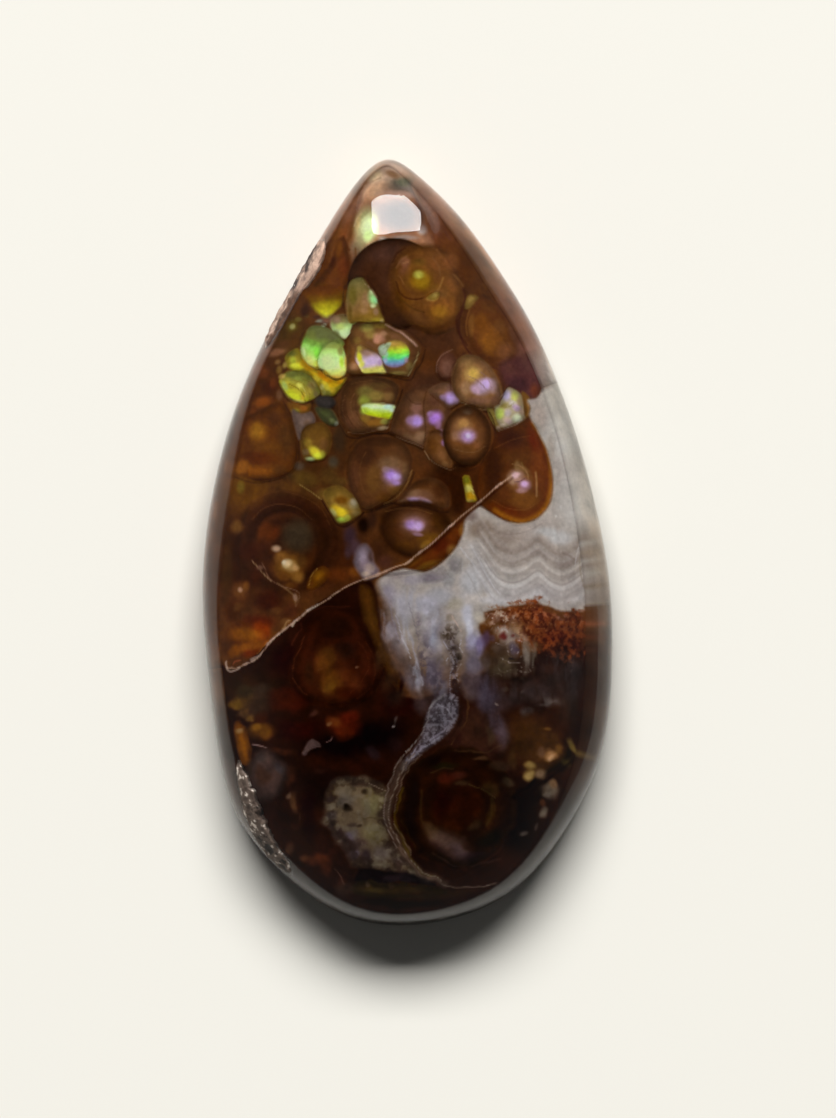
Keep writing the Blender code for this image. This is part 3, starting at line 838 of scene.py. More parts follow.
spots((
    (360, 357, 4, 9, 216, 210, 40, 1.0, 12), (362, 364, 4, 6, 236, 232, 84, 1.0, -25),
    (372, 360, 7, 6, 224, 188, 244), (380, 362, 3, 6, 176, 136, 190, 0.9, -10),
    (366, 370, 6, 3, 232, 226, 90), (379, 370, 6, 3, 230, 222, 100), (360, 348, 4, 4, 150, 130, 50),
    (367, 352, 5, 4, 150, 112, 100, 0.8),
))
sheen((384, 347, 389, 341, 397, 340, 405, 344, 409, 351, 408, 358, 404, 364, 398, 367, 391, 367, 385, 364,
        382, 358, 383, 352), (395, 340), (397, 368), (
    (0, 136, 100, 46), (0.18, 158, 124, 46), (0.3, 176, 180, 44), (0.42, 150, 236, 50), (0.55, 116, 255, 84),
    (0.66, 90, 228, 150), (0.76, 100, 176, 200), (0.87, 124, 136, 196), (1.0, 120, 86, 110),
), bend=0.12, sides=0.12)
spots((
    (386, 354, 3.5, 5, 150, 214, 170, 0.95), (385, 360, 3.5, 4, 150, 160, 206),
    (398, 357, 6, 4, 104, 255, 96, 0.8), (393, 344, 6, 3, 176, 134, 60, 0.8, -10),
    (406, 360, 3, 4, 150, 110, 140, 0.8), (398, 352, 6, 2.5, 190, 240, 60, 0.8),
))
facet((379, 347, 384, 344, 391, 343, 388, 349, 385, 355, 381, 356, 379, 351), (196, 222, 178),
        ((384, 351, 3, 4, 220, 246, 214), (388, 346, 3, 3, 170, 190, 130, 0.8),), fade=2.2)
strokes((
    (2, 70, 50, 50, 0.7, 378, 352, 382, 358, 384, 366, 387, 373),
    (1.8, 100, 76, 40, 0.6, 384, 345, 390, 340, 398, 339, 406, 343),
))

# The bubble with the green bar.
facet((341, 398, 344, 388, 354, 379, 368, 377, 384, 378, 397, 384, 399, 392, 395, 404, 391, 418, 387, 430,
        374, 431, 360, 434, 350, 432, 343, 421, 340, 410), (74, 46, 26), (
    (352, 392, 14, 14, 60, 36, 18), (380, 384, 18, 7, 66, 42, 24), (352, 420, 14, 14, 96, 58, 36),
    (366, 392, 12, 9, 104, 92, 40), (376, 396, 14, 8, 126, 104, 46), (389, 397, 8, 7, 120, 86, 44),
    (365, 401, 9, 8, 126, 134, 46, 0.95), (366, 410, 8, 7, 146, 170, 48, 0.95),
    (376, 423, 16, 6, 128, 82, 28, 0.95, 4), (366, 418, 8, 6, 120, 86, 30),
    (385, 422, 6, 4, 150, 150, 60, 0.9, 10), (383, 428, 8, 2.5, 190, 160, 116, 0.9, 6),
    (345, 408, 5, 16, 62, 36, 20, 0.8), (378, 386, 16, 5, 84, 62, 30, 0.6),
), fade=2.5)
sheen((362, 406, 370, 403, 380, 403, 388, 405, 395, 406, 393, 412, 390, 419, 382, 418, 372, 416, 365, 413),
        (378, 403), (376, 418), (
    (0, 150, 150, 70), (0.12, 190, 224, 120), (0.3, 214, 250, 170), (0.5, 196, 236, 96),
    (0.62, 190, 224, 50), (0.8, 176, 200, 22), (1.0, 132, 120, 24),
), fade=3, height=0.03, lean=0.05)
spots((
    (388, 407, 8, 3.5, 190, 238, 210, 1.0, 4), (392, 410, 3, 3, 196, 232, 214),
    (376, 407, 7, 3, 220, 255, 178), (386, 415, 7, 3, 176, 206, 30, 0.9, 8), (366, 410, 4, 4, 176, 204, 60),
    (383, 404, 4, 2, 150, 140, 90, 0.7),
))
strokes((
    (1.8, 52, 30, 16, 0.6, 350, 392, 346, 404, 349, 418, 356, 428),
    (1.8, 110, 72, 44, 0.45, 355, 394, 351, 404, 354, 416, 362, 426),
    (1.8, 56, 34, 18, 0.5, 360, 396, 356, 405, 359, 416, 368, 426),
    (1.8, 96, 60, 30, 0.4, 352, 384, 364, 381, 380, 382, 392, 388),
    (1.8, 106, 66, 40, 0.4, 345, 396, 343, 408, 347, 422),
    (1.8, 120, 74, 30, 0.4, 364, 421, 374, 424, 384, 424),
    (3, 30, 16, 8, 0.85, 402, 390, 397, 406, 393, 420, 390, 432, 374, 434, 360, 438, 348, 436, 340, 424),
    (2, 130, 92, 60, 0.6, 349, 432, 360, 434, 374, 431, 387, 429),
    (1.5, 60, 90, 30, 0.7, 395, 408, 392, 414, 390, 420),
))
# The middle of the stone, where violet lights stand on brown bubbles.
facet((404, 395, 414, 388, 428, 385, 440, 390, 448, 400, 450, 412, 448, 430, 440, 450, 424, 447, 408, 440,
        393, 434, 390, 430, 396, 412), (84, 52, 32), (
    (412, 400, 16, 10, 78, 50, 32), (398, 420, 10, 14, 70, 42, 22), (416, 408, 9, 8, 128, 84, 70, 0.8),
    (436, 400, 12, 12, 76, 46, 32), (415, 421, 13, 12, 134, 92, 90, 0.8),
    (412, 440, 16, 8, 132, 92, 62, 0.95, -20), (434, 432, 8, 10, 90, 52, 22),
    (420, 436, 8, 8, 142, 104, 74, 0.8),
), fade=3)
spots((
    (416, 421, 9, 8, 168, 130, 208, 1.0), (417, 422, 6, 5, 178, 140, 226, 0.95),
    (409, 420, 5, 6, 150, 110, 160, 0.7), (435, 418, 11, 10, 150, 100, 176, 1.0, 15),
    (435, 419, 8, 7, 166, 112, 216, 1.0, 15), (430, 414, 5, 4, 156, 112, 170, 0.8),
    (441, 432, 4, 5, 130, 86, 110, 0.7), (438, 425, 5, 7, 146, 100, 150, 0.7),
))
strokes((
    (2.5, 58, 34, 18, 0.8, 426, 392, 423, 404, 424, 418, 425, 432, 424, 446),
    (2.5, 150, 112, 84, 0.6, 396, 436, 408, 441, 423, 447),
    (3.5, 34, 18, 8, 0.85, 391, 434, 406, 442, 424, 449),
    (2.5, 50, 30, 18, 0.6, 404, 394, 412, 402, 420, 404),
))
facet((424, 448, 428, 434, 438, 430, 446, 436, 449, 450, 452, 464, 450, 469, 440, 466, 430, 459, 426, 452),
        (104, 62, 30), (
    (432, 446, 8, 12, 88, 50, 18), (442, 456, 7, 9, 116, 72, 38), (445, 464, 6, 4, 136, 90, 50, 0.8, -30),
    (444, 443, 4, 5, 158, 106, 170, 1.0), (443, 434, 4, 6, 120, 80, 90, 0.7),
), fade=2.5)
strokes((
    (2, 150, 110, 74, 0.7, 425, 450, 430, 459, 440, 466, 450, 470, 455, 468),
    (2.5, 60, 34, 16, 0.7, 449, 432, 449, 448, 453, 464),
))
facet((428, 391, 438, 384, 450, 384, 457, 392, 460, 401, 456, 405, 449, 408, 442, 402, 434, 396),
        (110, 74, 50), (
    (436, 390, 8, 5, 104, 68, 46), (450, 388, 8, 5, 128, 86, 70), (450, 398, 10, 9, 166, 130, 204, 1.0),
    (450, 400, 6, 6, 182, 150, 226, 0.95), (456, 400, 4, 5, 176, 140, 190, 0.8),
    (442, 398, 5, 4, 160, 124, 170, 0.8, -30),
), fade=2.3)
strokes(((2.2, 60, 36, 20, 0.8, 430, 395, 440, 403, 449, 410, 459, 404, 463, 402),))

# The oval bubble with yellow and violet lights.
facet((452, 372, 456, 360, 466, 355, 478, 357, 490, 368, 499, 384, 502, 398, 499, 406, 487, 409, 474, 406,
        462, 402, 454, 393, 451, 382), (112, 74, 42), (
    (455, 374, 8, 14, 92, 60, 34, 0.95), (466, 362, 12, 8, 128, 92, 52),
    (472, 374, 13, 12, 166, 122, 62, 1.0), (473, 374, 7, 8, 192, 148, 62),
    (466, 388, 10, 10, 140, 100, 66, 0.95), (482, 387, 14, 12, 158, 126, 150, 1.0, 20),
    (486, 384, 9, 8, 184, 150, 218, 0.9, 20), (476, 390, 9, 6, 168, 130, 160, 0.9, -30),
    (493, 386, 6, 10, 150, 118, 130, 0.8), (478, 401, 18, 6, 116, 78, 56, 0.95),
    (495, 400, 7, 7, 96, 62, 44), (462, 397, 9, 5, 118, 82, 52, 0.9, -20),
    (497, 392, 4, 8, 108, 76, 62, 0.7, 20), (484, 366, 8, 6, 122, 82, 50, 0.8, -40),
), fade=2.5)
strokes((
    (2, 110, 76, 70, 0.6, 468, 376, 475, 379, 481, 384, 487, 391),
    (2, 120, 86, 90, 0.5, 480, 372, 487, 378, 491, 388),
    (2, 160, 126, 80, 0.8, 460, 402, 470, 406, 480, 409, 488, 409),
    (2, 104, 70, 46, 0.5, 480, 362, 490, 372, 497, 386),
    (3, 42, 24, 14, 0.85, 462, 406, 474, 409, 488, 412, 498, 410, 503, 400, 502, 388),
    (3, 52, 30, 20, 0.6, 450, 390, 450, 376, 455, 362, 464, 354),
))

# The many-coloured facet beside it, and its long narrow neighbour.
facet((486, 409, 492, 409, 497, 420, 503, 428, 498, 432, 492, 424), (130, 104, 44), (
    (492, 416, 4, 8, 150, 126, 50, 0.8, 20), (498, 428, 4, 4, 206, 176, 150, 0.8),
), fade=2.2)
facet((506, 389, 510, 388, 516, 391, 521, 396, 523, 404, 523, 412, 525, 418, 520, 422, 512, 425, 504, 428,
        499, 425, 495, 416, 494, 408, 499, 404, 501, 397), (168, 150, 110), (
    (506, 395, 7, 8, 180, 164, 206, 1.0), (514, 396, 6, 8, 186, 188, 84, 1.0),
    (519, 402, 4, 8, 160, 130, 90), (512, 403, 6, 4, 206, 196, 190, 0.9, -30),
    (516, 408, 7, 5, 176, 140, 176, 1.0, -30), (503, 406, 7, 4, 150, 130, 60, 0.9, 30),
    (499, 413, 7, 8, 166, 186, 76, 1.0), (498, 416, 5, 5, 180, 204, 80),
    (507, 413, 5, 6, 176, 160, 160, 0.9, -30), (508, 421, 7, 5, 190, 156, 150, 0.95, -20),
    (516, 418, 7, 6, 214, 226, 176, 1.0, 20), (518, 419, 4, 4, 226, 240, 190),
    (502, 425, 5, 3, 216, 190, 160), (522, 412, 4, 5, 186, 146, 120),
), fade=2.2)
facet((521, 392, 528, 396, 531, 404, 530, 414, 525, 417, 523, 406), (134, 84, 30),
        ((528, 405, 3, 9, 156, 100, 40, 0.8),), fade=3)
strokes((
    (2.5, 40, 22, 12, 0.8, 484, 412, 492, 426, 497, 434, 508, 429, 520, 424, 528, 418),
    (2.5, 46, 24, 20, 0.8, 498, 404, 502, 396, 506, 387, 512, 386, 520, 390),
    (2, 214, 190, 170, 0.7, 498, 431, 505, 428, 514, 425, 522, 420),
    (2, 120, 100, 44, 0.6, 499, 406, 507, 407, 513, 403),
))

# The round bubble with a violet heart.
bubble(467, 436, 25, 32, 0, (100, 58, 28), (50, 28, 12), 0.5, (
    (460, 412, 16, 10, 66, 40, 24, 0.95), (467, 411, 8, 5, 104, 90, 76, 0.8),
    (455, 424, 12, 14, 122, 78, 48, 0.8), (482, 430, 10, 20, 86, 50, 26, 0.8),
    (463, 426, 13, 12, 150, 100, 56, 1.0), (463, 423, 7, 6, 184, 128, 66),
    (456, 436, 8, 8, 150, 104, 76, 0.8), (467, 436, 13, 11, 152, 110, 130, 1.0),
    (468, 437, 9, 8, 178, 132, 200, 1.0), (468, 436, 4, 4, 226, 206, 250, 1.0),
    (480, 444, 10, 8, 112, 66, 36, 0.8), (464, 452, 18, 8, 88, 52, 24), (470, 462, 18, 6, 66, 38, 20),
), fade=0.08)
strokes((
    (2, 62, 36, 16, 0.6, 451, 452, 462, 456, 474, 456, 486, 450),
    (2, 124, 84, 50, 0.4, 454, 449, 464, 452, 476, 452, 485, 446),
    (2.5, 44, 24, 12, 0.8, 456, 466, 466, 471, 476, 468),
    (2.5, 40, 22, 12, 0.8, 480, 464, 488, 454, 494, 440, 494, 424, 489, 412),
))

# The yellow and orange facet.
facet((462, 477, 468, 476, 471, 486, 474, 496, 476, 501, 470, 502, 466, 501, 464, 490), (200, 160, 30), (
    (466, 480, 6, 6, 130, 126, 22, 1.0), (467, 489, 8, 6, 255, 236, 84, 1.0),
    (468, 489, 6, 5, 255, 236, 100), (470, 496, 6, 6, 230, 160, 24, 1.0),
    (473, 491, 2.5, 6, 232, 214, 110, 0.9, 10), (469, 501, 6, 2, 210, 170, 80, 0.8),
), fade=1.8, steps=2)

# The bubbles with violet hearts down the middle.
facet((352, 450, 362, 440, 378, 436, 394, 438, 406, 445, 412, 458, 411, 472, 404, 486, 394, 497, 382, 504,
        370, 510, 361, 508, 352, 496, 347, 478, 347, 462), (78, 45, 22), (
    (392, 474, 28, 26, 104, 68, 44, 0.8), (365, 455, 18, 18, 52, 29, 16, 0.95),
    (378, 442, 22, 8, 46, 26, 14, 0.8), (354, 478, 8, 24, 76, 44, 26), (374, 480, 12, 22, 96, 60, 26),
    (400, 452, 14, 12, 72, 44, 24), (390, 464, 16, 10, 108, 76, 50),
    (396, 488, 12, 14, 100, 64, 26, 0.9, 30), (384, 498, 12, 9, 84, 48, 16),
    (393, 477, 15, 12, 140, 102, 130, 1.0, -10), (391, 475, 9, 8, 162, 122, 212, 1.0, -15),
    (397, 476, 6, 5, 192, 156, 232, 0.95, -10), (396, 482, 7, 4, 164, 124, 196, 0.9, -10),
    (386, 470, 6, 5, 140, 110, 120, 0.7), (405, 470, 5, 12, 104, 72, 44, 0.7),
), fade=3)
strokes((
    (2, 58, 32, 18, 0.5, 360, 446, 354, 460, 353, 476, 358, 492),
    (2, 98, 62, 34, 0.4, 366, 452, 360, 466, 361, 482, 367, 496),
    (2.5, 140, 96, 50, 0.6, 412, 470, 406, 486, 396, 497, 384, 504),
    (3.5, 36, 20, 10, 0.85, 414, 472, 408, 488, 398, 500, 386, 507, 372, 512),
    (3, 36, 20, 12, 0.6, 350, 448, 360, 438, 376, 433, 392, 434),
))
facet((398, 500, 408, 488, 418, 480, 432, 478, 444, 484, 450, 496, 448, 508, 434, 508, 418, 503, 400, 503),
        (80, 47, 24), (
    (420, 498, 20, 12, 112, 72, 50, 0.8), (422, 484, 16, 7, 62, 34, 14), (440, 490, 10, 12, 58, 30, 12),
    (414, 494, 10, 6, 118, 82, 56, 0.9, 20), (418, 500, 16, 5, 150, 112, 124, 1.0, -8),
    (414, 500, 8, 3.5, 184, 150, 214, 1.0, -5), (426, 502, 8, 3.5, 186, 150, 180, 0.95, -12),
    (440, 504, 8, 4, 70, 40, 18), (404, 501, 6, 3, 146, 108, 80, 0.8),
), fade=2.5)
bubble(417, 530, 42, 32, -10, (74, 42, 18), (36, 17, 6), 0.6, (
    (410, 512, 24, 10, 88, 52, 30), (395, 532, 14, 14, 68, 36, 14), (440, 520, 14, 14, 62, 34, 10),
    (430, 540, 18, 12, 96, 58, 16), (414, 524, 22, 16, 108, 68, 52), (414, 524, 15, 10, 140, 98, 110, 1.0),
    (411, 525, 8, 7, 166, 126, 196, 1.0), (418, 526, 8, 7, 190, 150, 214, 1.0),
    (418, 534, 8, 3, 150, 108, 130, 0.8, -10), (427, 544, 9, 6, 128, 82, 26, 0.95, 20),
    (405, 546, 16, 8, 84, 48, 14), (425, 547, 6, 4, 140, 96, 40, 0.7),
), fade=0.2)
facet((384, 575, 396, 566, 408, 560, 422, 550, 436, 540, 450, 528, 460, 520, 465, 524, 464, 536, 457, 548,
        446, 558, 432, 566, 418, 571, 404, 573), (78, 34, 10), (
    (410, 562, 20, 8, 96, 52, 12, 0.9, 20), (440, 545, 14, 10, 66, 22, 8, 0.95, 40),
    (428, 566, 20, 6, 118, 74, 20, 0.9, 20), (452, 550, 8, 8, 140, 92, 40, 0.8, 40),
    (462, 530, 5, 10, 140, 86, 30, 0.8, -10),
), fade=4)
strokes((
    (3.5, 28, 14, 8, 0.8, 376, 510, 390, 503, 404, 505, 420, 506, 436, 511, 448, 512),
    (2.5, 110, 70, 34, 0.4, 386, 512, 400, 508, 416, 509, 432, 514),
))
spots((
    (363, 525, 9, 14, 14, 6, 3, 0.95), (350, 536, 10, 16, 48, 32, 38, 0.95), (356, 548, 9, 12, 60, 42, 48),
    (460, 470, 14, 8, 44, 22, 8), (484, 490, 8, 16, 40, 20, 8), (456, 490, 12, 22, 40, 18, 6, 0.95),
    (458, 505, 10, 16, 36, 16, 6), (372, 520, 8, 14, 40, 22, 14, 0.8), (378, 550, 14, 18, 50, 26, 12),
))

# The big bubble on the right, with twin lights.
facet((497, 434, 508, 428, 520, 423, 527, 417, 534, 425, 540, 437, 546, 448, 551, 465, 553, 482, 551, 500,
        544, 512, 533, 521, 518, 524, 503, 520, 488, 511, 480, 500, 478, 484, 482, 466, 490, 450),
        (66, 32, 10), (
    (510, 440, 24, 14, 56, 26, 14, 0.95), (534, 440, 10, 22, 76, 24, 8, 0.95, 20),
    (492, 475, 14, 34, 54, 27, 12, 0.95), (515, 458, 20, 12, 70, 38, 14), (538, 470, 12, 30, 92, 42, 14),
    (524, 500, 26, 14, 94, 52, 18, 0.95), (505, 512, 24, 10, 74, 26, 8, 0.95, -15),
    (500, 496, 14, 10, 72, 36, 14),
), fade=5, shadow=0)
strokes((
    (16, 84, 36, 10, 0.9, 531, 424, 540, 440, 546, 458, 548, 478, 546, 496, 538, 510, 522, 518, 506, 515,
    492, 506),
    (9, 128, 70, 14, 0.9, 533, 424, 543, 440, 549, 458, 551, 478, 549, 496, 540, 512, 524, 521, 508, 518,
    494, 510),
    (4, 150, 110, 60, 0.6, 536, 424, 546, 440, 553, 460, 555, 480, 552, 500, 543, 515, 528, 525, 510, 523),
))
spots((
    (506, 436, 18, 12, 44, 20, 10, 0.9, -20), (493, 470, 12, 36, 46, 22, 10),
    (519, 481, 20, 18, 106, 66, 34, 0.95, -35), (516, 476, 11, 10, 150, 108, 96),
    (515, 475, 6, 4.5, 206, 160, 166, 1.0, 30), (517, 466, 5, 8, 124, 90, 52, 0.8),
    (524, 485, 9, 8, 156, 108, 130), (524, 484, 5, 4.5, 206, 156, 214, 1.0),
    (521, 491, 8, 4, 150, 106, 110, 0.8), (511, 480, 5, 8, 150, 110, 84, 0.7, 30),
    (522, 468, 10, 4, 112, 76, 40, 0.8, -30),
))
strokes((
    (3.5, 150, 104, 58, 0.8, 535, 472, 536, 482, 536, 496),
    (2.5, 110, 80, 40, 0.7, 521, 462, 524, 470, 528, 476),
    (2, 150, 104, 64, 0.5, 512, 464, 520, 466, 526, 472, 528, 480),
    (2, 70, 44, 50, 0.8, 514, 482, 520, 481, 525, 478),
    (2.5, 118, 80, 56, 0.6, 498, 486, 506, 480, 510, 474),
    (2, 108, 60, 26, 0.4, 494, 448, 506, 442, 518, 438, 530, 436),
    (2, 124, 70, 30, 0.35, 492, 500, 506, 508, 524, 510, 538, 502),
))

# The orange-brown bubble at the left.
facet((250, 414, 262, 410, 274, 404, 284, 404, 293, 420, 298, 440, 298, 458, 294, 470, 284, 476, 270, 480,
        256, 480, 244, 476, 232, 472, 234, 440, 240, 420), (82, 42, 12), (
    (276, 418, 12, 12, 66, 36, 16), (286, 440, 12, 26, 68, 40, 16, 0.95),
    (258, 433, 15, 15, 120, 68, 14, 1.0), (257, 431, 9, 9, 148, 90, 18, 1.0), (268, 448, 22, 12, 84, 46, 12),
    (258, 458, 24, 10, 74, 32, 8), (256, 472, 26, 9, 122, 62, 12, 0.95), (242, 466, 12, 10, 126, 66, 16),
    (245, 425, 10, 14, 88, 42, 10), (280, 470, 10, 7, 78, 44, 16, 0.8),
), fade=4)
strokes((
    (3, 40, 20, 10, 0.7, 284, 402, 294, 420, 300, 440, 300, 460),
    (2.5, 60, 32, 12, 0.5, 262, 416, 274, 420, 282, 430, 284, 446),
    (3, 44, 24, 8, 0.6, 232, 476, 250, 482, 268, 482, 286, 478),
))

# Small cells between it and the middle.
facet((293, 410, 302, 414, 312, 412, 316, 420, 313, 426, 305, 432, 300, 440, 296, 428), (104, 82, 74),
        ((303, 416, 8, 5, 124, 96, 84, 0.8), (308, 424, 6, 6, 92, 66, 50, 0.8),), fade=3)
facet((316, 400, 322, 396, 332, 397, 336, 404, 330, 409, 320, 408), (54, 48, 46), (), fade=4)
facet((316, 408, 326, 408, 334, 412, 339, 424, 332, 426, 322, 420), (66, 66, 40), (
    (326, 414, 8, 5, 72, 76, 42, 0.9, -20), (333, 421, 5, 4, 110, 118, 70, 0.9, -30),
    (337, 424, 3, 4, 176, 184, 150, 1.0),
), fade=3)
facet((301, 442, 303, 430, 312, 424, 325, 424, 332, 434, 331, 448, 326, 458, 320, 461, 308, 461, 304, 456),
        (100, 66, 24), (
    (318, 432, 12, 9, 92, 60, 22), (324, 444, 7, 10, 92, 58, 30, 0.8), (308, 442, 7, 7, 140, 106, 34, 0.95),
    (315, 452, 11, 7, 210, 190, 40, 1.0, -40), (318, 456, 8, 5, 224, 232, 50, 1.0),
    (310, 459, 7, 3, 176, 200, 120, 1.0), (306, 452, 5, 5, 120, 92, 60, 0.8),
    (323, 454, 4, 5, 190, 180, 50, 0.8),
), fade=2.3)
spots((
    (340, 440, 10, 22, 46, 32, 20), (334, 462, 8, 9, 62, 56, 44, 0.8), (330, 476, 14, 14, 66, 44, 18),
    (305, 478, 22, 12, 72, 50, 18, 0.9, -15), (325, 494, 10, 8, 88, 62, 24, 0.8),
    (290, 488, 20, 8, 78, 46, 16, 0.8, -15), (300, 466, 8, 6, 70, 56, 46, 0.8),
    (340, 482, 12, 8, 70, 48, 20, 0.8),
))
facet((324, 496, 328, 488, 340, 486, 350, 492, 357, 502, 361, 512, 356, 518, 348, 522, 340, 524, 336, 520,
        330, 510), (128, 92, 34), (
    (331, 494, 9, 7, 104, 78, 28), (342, 500, 10, 6, 98, 56, 12, 0.95),
    (337, 510, 9, 7, 224, 170, 34, 1.0, -30), (342, 513, 9, 7, 250, 206, 36, 1.0),
    (334, 513, 4, 7, 214, 204, 110, 0.9, 30), (342, 520, 8, 4, 176, 206, 62, 1.0),
    (348, 518, 5, 5, 190, 190, 60), (354, 504, 8, 8, 150, 128, 80, 0.95),
    (354, 502, 4, 5, 214, 196, 160, 0.8, 30), (356, 513, 6, 5, 128, 104, 56, 0.8),
), fade=2.3)
strokes((
    (3, 30, 14, 8, 0.85, 322, 500, 331, 514, 337, 524, 344, 527, 354, 522, 364, 512),
    (2, 150, 120, 60, 0.5, 300, 484, 312, 492, 322, 500),
))

# The dark ringed bubble at the left.
bubble(287, 543, 58, 55, 0, (46, 22, 10), (60, 30, 12), 0.2, (
    (264, 520, 24, 18, 52, 24, 10), (306, 560, 22, 20, 46, 22, 8), (296, 536, 24, 24, 42, 30, 18, 0.95),
    (270, 532, 16, 12, 68, 27, 8), (262, 545, 12, 9, 58, 26, 12), (322, 540, 14, 24, 42, 20, 8),
), rings=4, ring_strength=0.12, fade=0.25)
strokes((
    (2, 84, 48, 24, 0.5, 252, 520, 264, 508, 280, 504, 298, 508, 312, 520),
    (2, 30, 14, 8, 0.6, 258, 526, 268, 514, 282, 510, 298, 514, 308, 524),
    (2, 76, 42, 20, 0.45, 244, 508, 262, 496, 284, 492, 306, 498, 322, 510, 332, 530),
))
spots((
    (300, 536, 22, 24, 48, 38, 26, 0.8), (265, 533, 14, 14, 80, 36, 10, 0.8),
    (288, 566, 22, 20, 104, 62, 20, 0.95, 20), (281, 557, 10, 9, 112, 68, 26),
    (276, 548, 7, 5, 168, 128, 96, 0.95), (290, 566, 11, 9, 160, 114, 58, 0.95),
    (287, 563, 7, 6, 220, 182, 124, 1.0), (295, 568, 6, 5, 176, 124, 70), (298, 577, 9, 9, 122, 76, 28),
    (284, 575, 8, 8, 88, 48, 14), (302, 561, 8, 9, 62, 38, 14, 0.8), (290, 585, 10, 5, 84, 46, 16, 0.8),
    (284, 562, 3, 3, 244, 214, 168), (240, 468, 13, 9, 146, 80, 20, 0.8, 20), (240, 487, 7, 10, 110, 84, 22),
    (236, 527, 10, 10, 112, 68, 26), (256, 430, 12, 12, 150, 92, 20, 0.7),
))
strokes((
    (11, 26, 13, 6, 0.45, 254, 536, 260, 520, 274, 511, 288, 509, 303, 514, 314, 528, 319, 546, 316, 568),
    (3, 150, 108, 64, 0.5, 278, 583, 288, 590, 295, 596, 296, 606),
    (2.2, 172, 130, 90, 0.6, 252, 560, 262, 572, 272, 581),
))
facet((308, 588, 310, 578, 316, 570, 324, 567, 330, 572, 326, 580, 316, 588), (104, 56, 10), (
    (319, 576, 7, 6, 122, 72, 12, 0.9, 40), (311, 584, 5, 5, 90, 44, 10, 0.8),
), fade=4)
strokes((
    (2.2, 150, 96, 40, 0.6, 309, 586, 312, 576, 318, 569),
    (2, 120, 80, 60, 0.6, 262, 562, 270, 578, 282, 586, 296, 590, 300, 596, 296, 606),
))
spots((
    (240, 590, 13, 12, 100, 54, 22, 0.95), (241, 590, 4, 4, 190, 134, 96, 1.0),
    (248, 586, 5, 7, 110, 60, 20, 0.8), (270, 600, 22, 16, 42, 14, 6), (260, 568, 5, 4, 92, 62, 48, 0.8),
    (256, 578, 10, 14, 44, 18, 8, 0.8), (232, 612, 14, 16, 58, 26, 6), (238, 608, 8, 6, 86, 50, 20, 0.7, 40),
    (278, 611, 12, 5, 78, 44, 20, 0.8), (260, 622, 24, 12, 62, 18, 6), (250, 636, 36, 20, 98, 44, 8, 0.95),
    (262, 630, 16, 14, 112, 36, 5, 0.8), (244, 636, 24, 10, 128, 66, 12),
    (248, 650, 28, 9, 126, 62, 12, 0.9, 10), (266, 647, 9, 7, 128, 56, 16, 0.9, 40),
    (232, 654, 12, 9, 118, 58, 10), (252, 655, 14, 7, 92, 30, 6, 0.9, 20),
    (292, 612, 12, 14, 56, 26, 14, 0.8), (288, 624, 7, 5, 110, 66, 34, 0.8),
    (296, 597, 3, 6, 130, 96, 76, 0.8, 10), (340, 575, 20, 12, 70, 32, 10),
    (355, 572, 9, 8, 100, 50, 14, 0.8), (352, 590, 16, 8, 52, 18, 6, 0.9, 20),
    (226, 570, 10, 40, 58, 34, 10, 0.7), (250, 552, 16, 14, 46, 18, 8, 0.8),
))
facet((354, 560, 358, 548, 366, 544, 372, 552, 374, 562, 379, 570, 376, 577, 366, 580, 360, 574, 356, 568),
        (120, 100, 108), (
    (362, 556, 7, 10, 140, 122, 138, 0.95), (370, 568, 8, 7, 168, 142, 132, 0.95),
    (372, 556, 6, 8, 88, 60, 54), (366, 574, 7, 4, 196, 166, 144),
), fade=5)
spots(((385, 562, 12, 10, 66, 36, 26), (348, 552, 6, 10, 52, 36, 42, 0.8)))

# The lower stone, near black with dark red and brown depths.
lower = ease(depth_inside(px(190, 668, 226, 669, 245, 665, 269, 643, 291, 625, 313, 607, 338, 592, 365, 580,
        376, 590, 384, 640, 405, 680, 420, 700, 640, 640, 640, 950, 190, 950), 2) / mm(4) + 0.5)
lay(lower, (26, 10, 5))
spots((
    (250, 690, 40, 26, 32, 17, 6, 0.95), (285, 660, 20, 24, 20, 4, 3, 0.95), (290, 700, 30, 16, 46, 12, 5),
    (300, 730, 34, 16, 28, 6, 2), (340, 745, 50, 20, 10, 4, 2, 0.95), (380, 735, 40, 26, 8, 3, 2, 0.95),
    (400, 700, 26, 30, 22, 5, 3), (320, 785, 40, 26, 18, 8, 6, 0.95), (300, 840, 20, 50, 30, 13, 6),
    (310, 815, 12, 40, 16, 4, 2), (480, 735, 50, 40, 40, 22, 15), (530, 740, 40, 40, 46, 26, 9),
    (560, 715, 24, 34, 32, 13, 4), (560, 760, 20, 20, 20, 12, 4), (520, 800, 40, 24, 8, 4, 2, 0.95, 30),
    (520, 830, 30, 30, 8, 4, 3, 0.95), (545, 790, 24, 10, 14, 6, 2, 0.9, 30), (560, 680, 30, 30, 30, 20, 17),
    (575, 700, 10, 40, 26, 16, 12), (530, 690, 30, 20, 34, 22, 18), (545, 660, 20, 20, 26, 12, 9),
    (330, 700, 26, 12, 62, 22, 9, 0.6), (560, 765, 14, 12, 12, 3, 1, 0.8),
), lower)

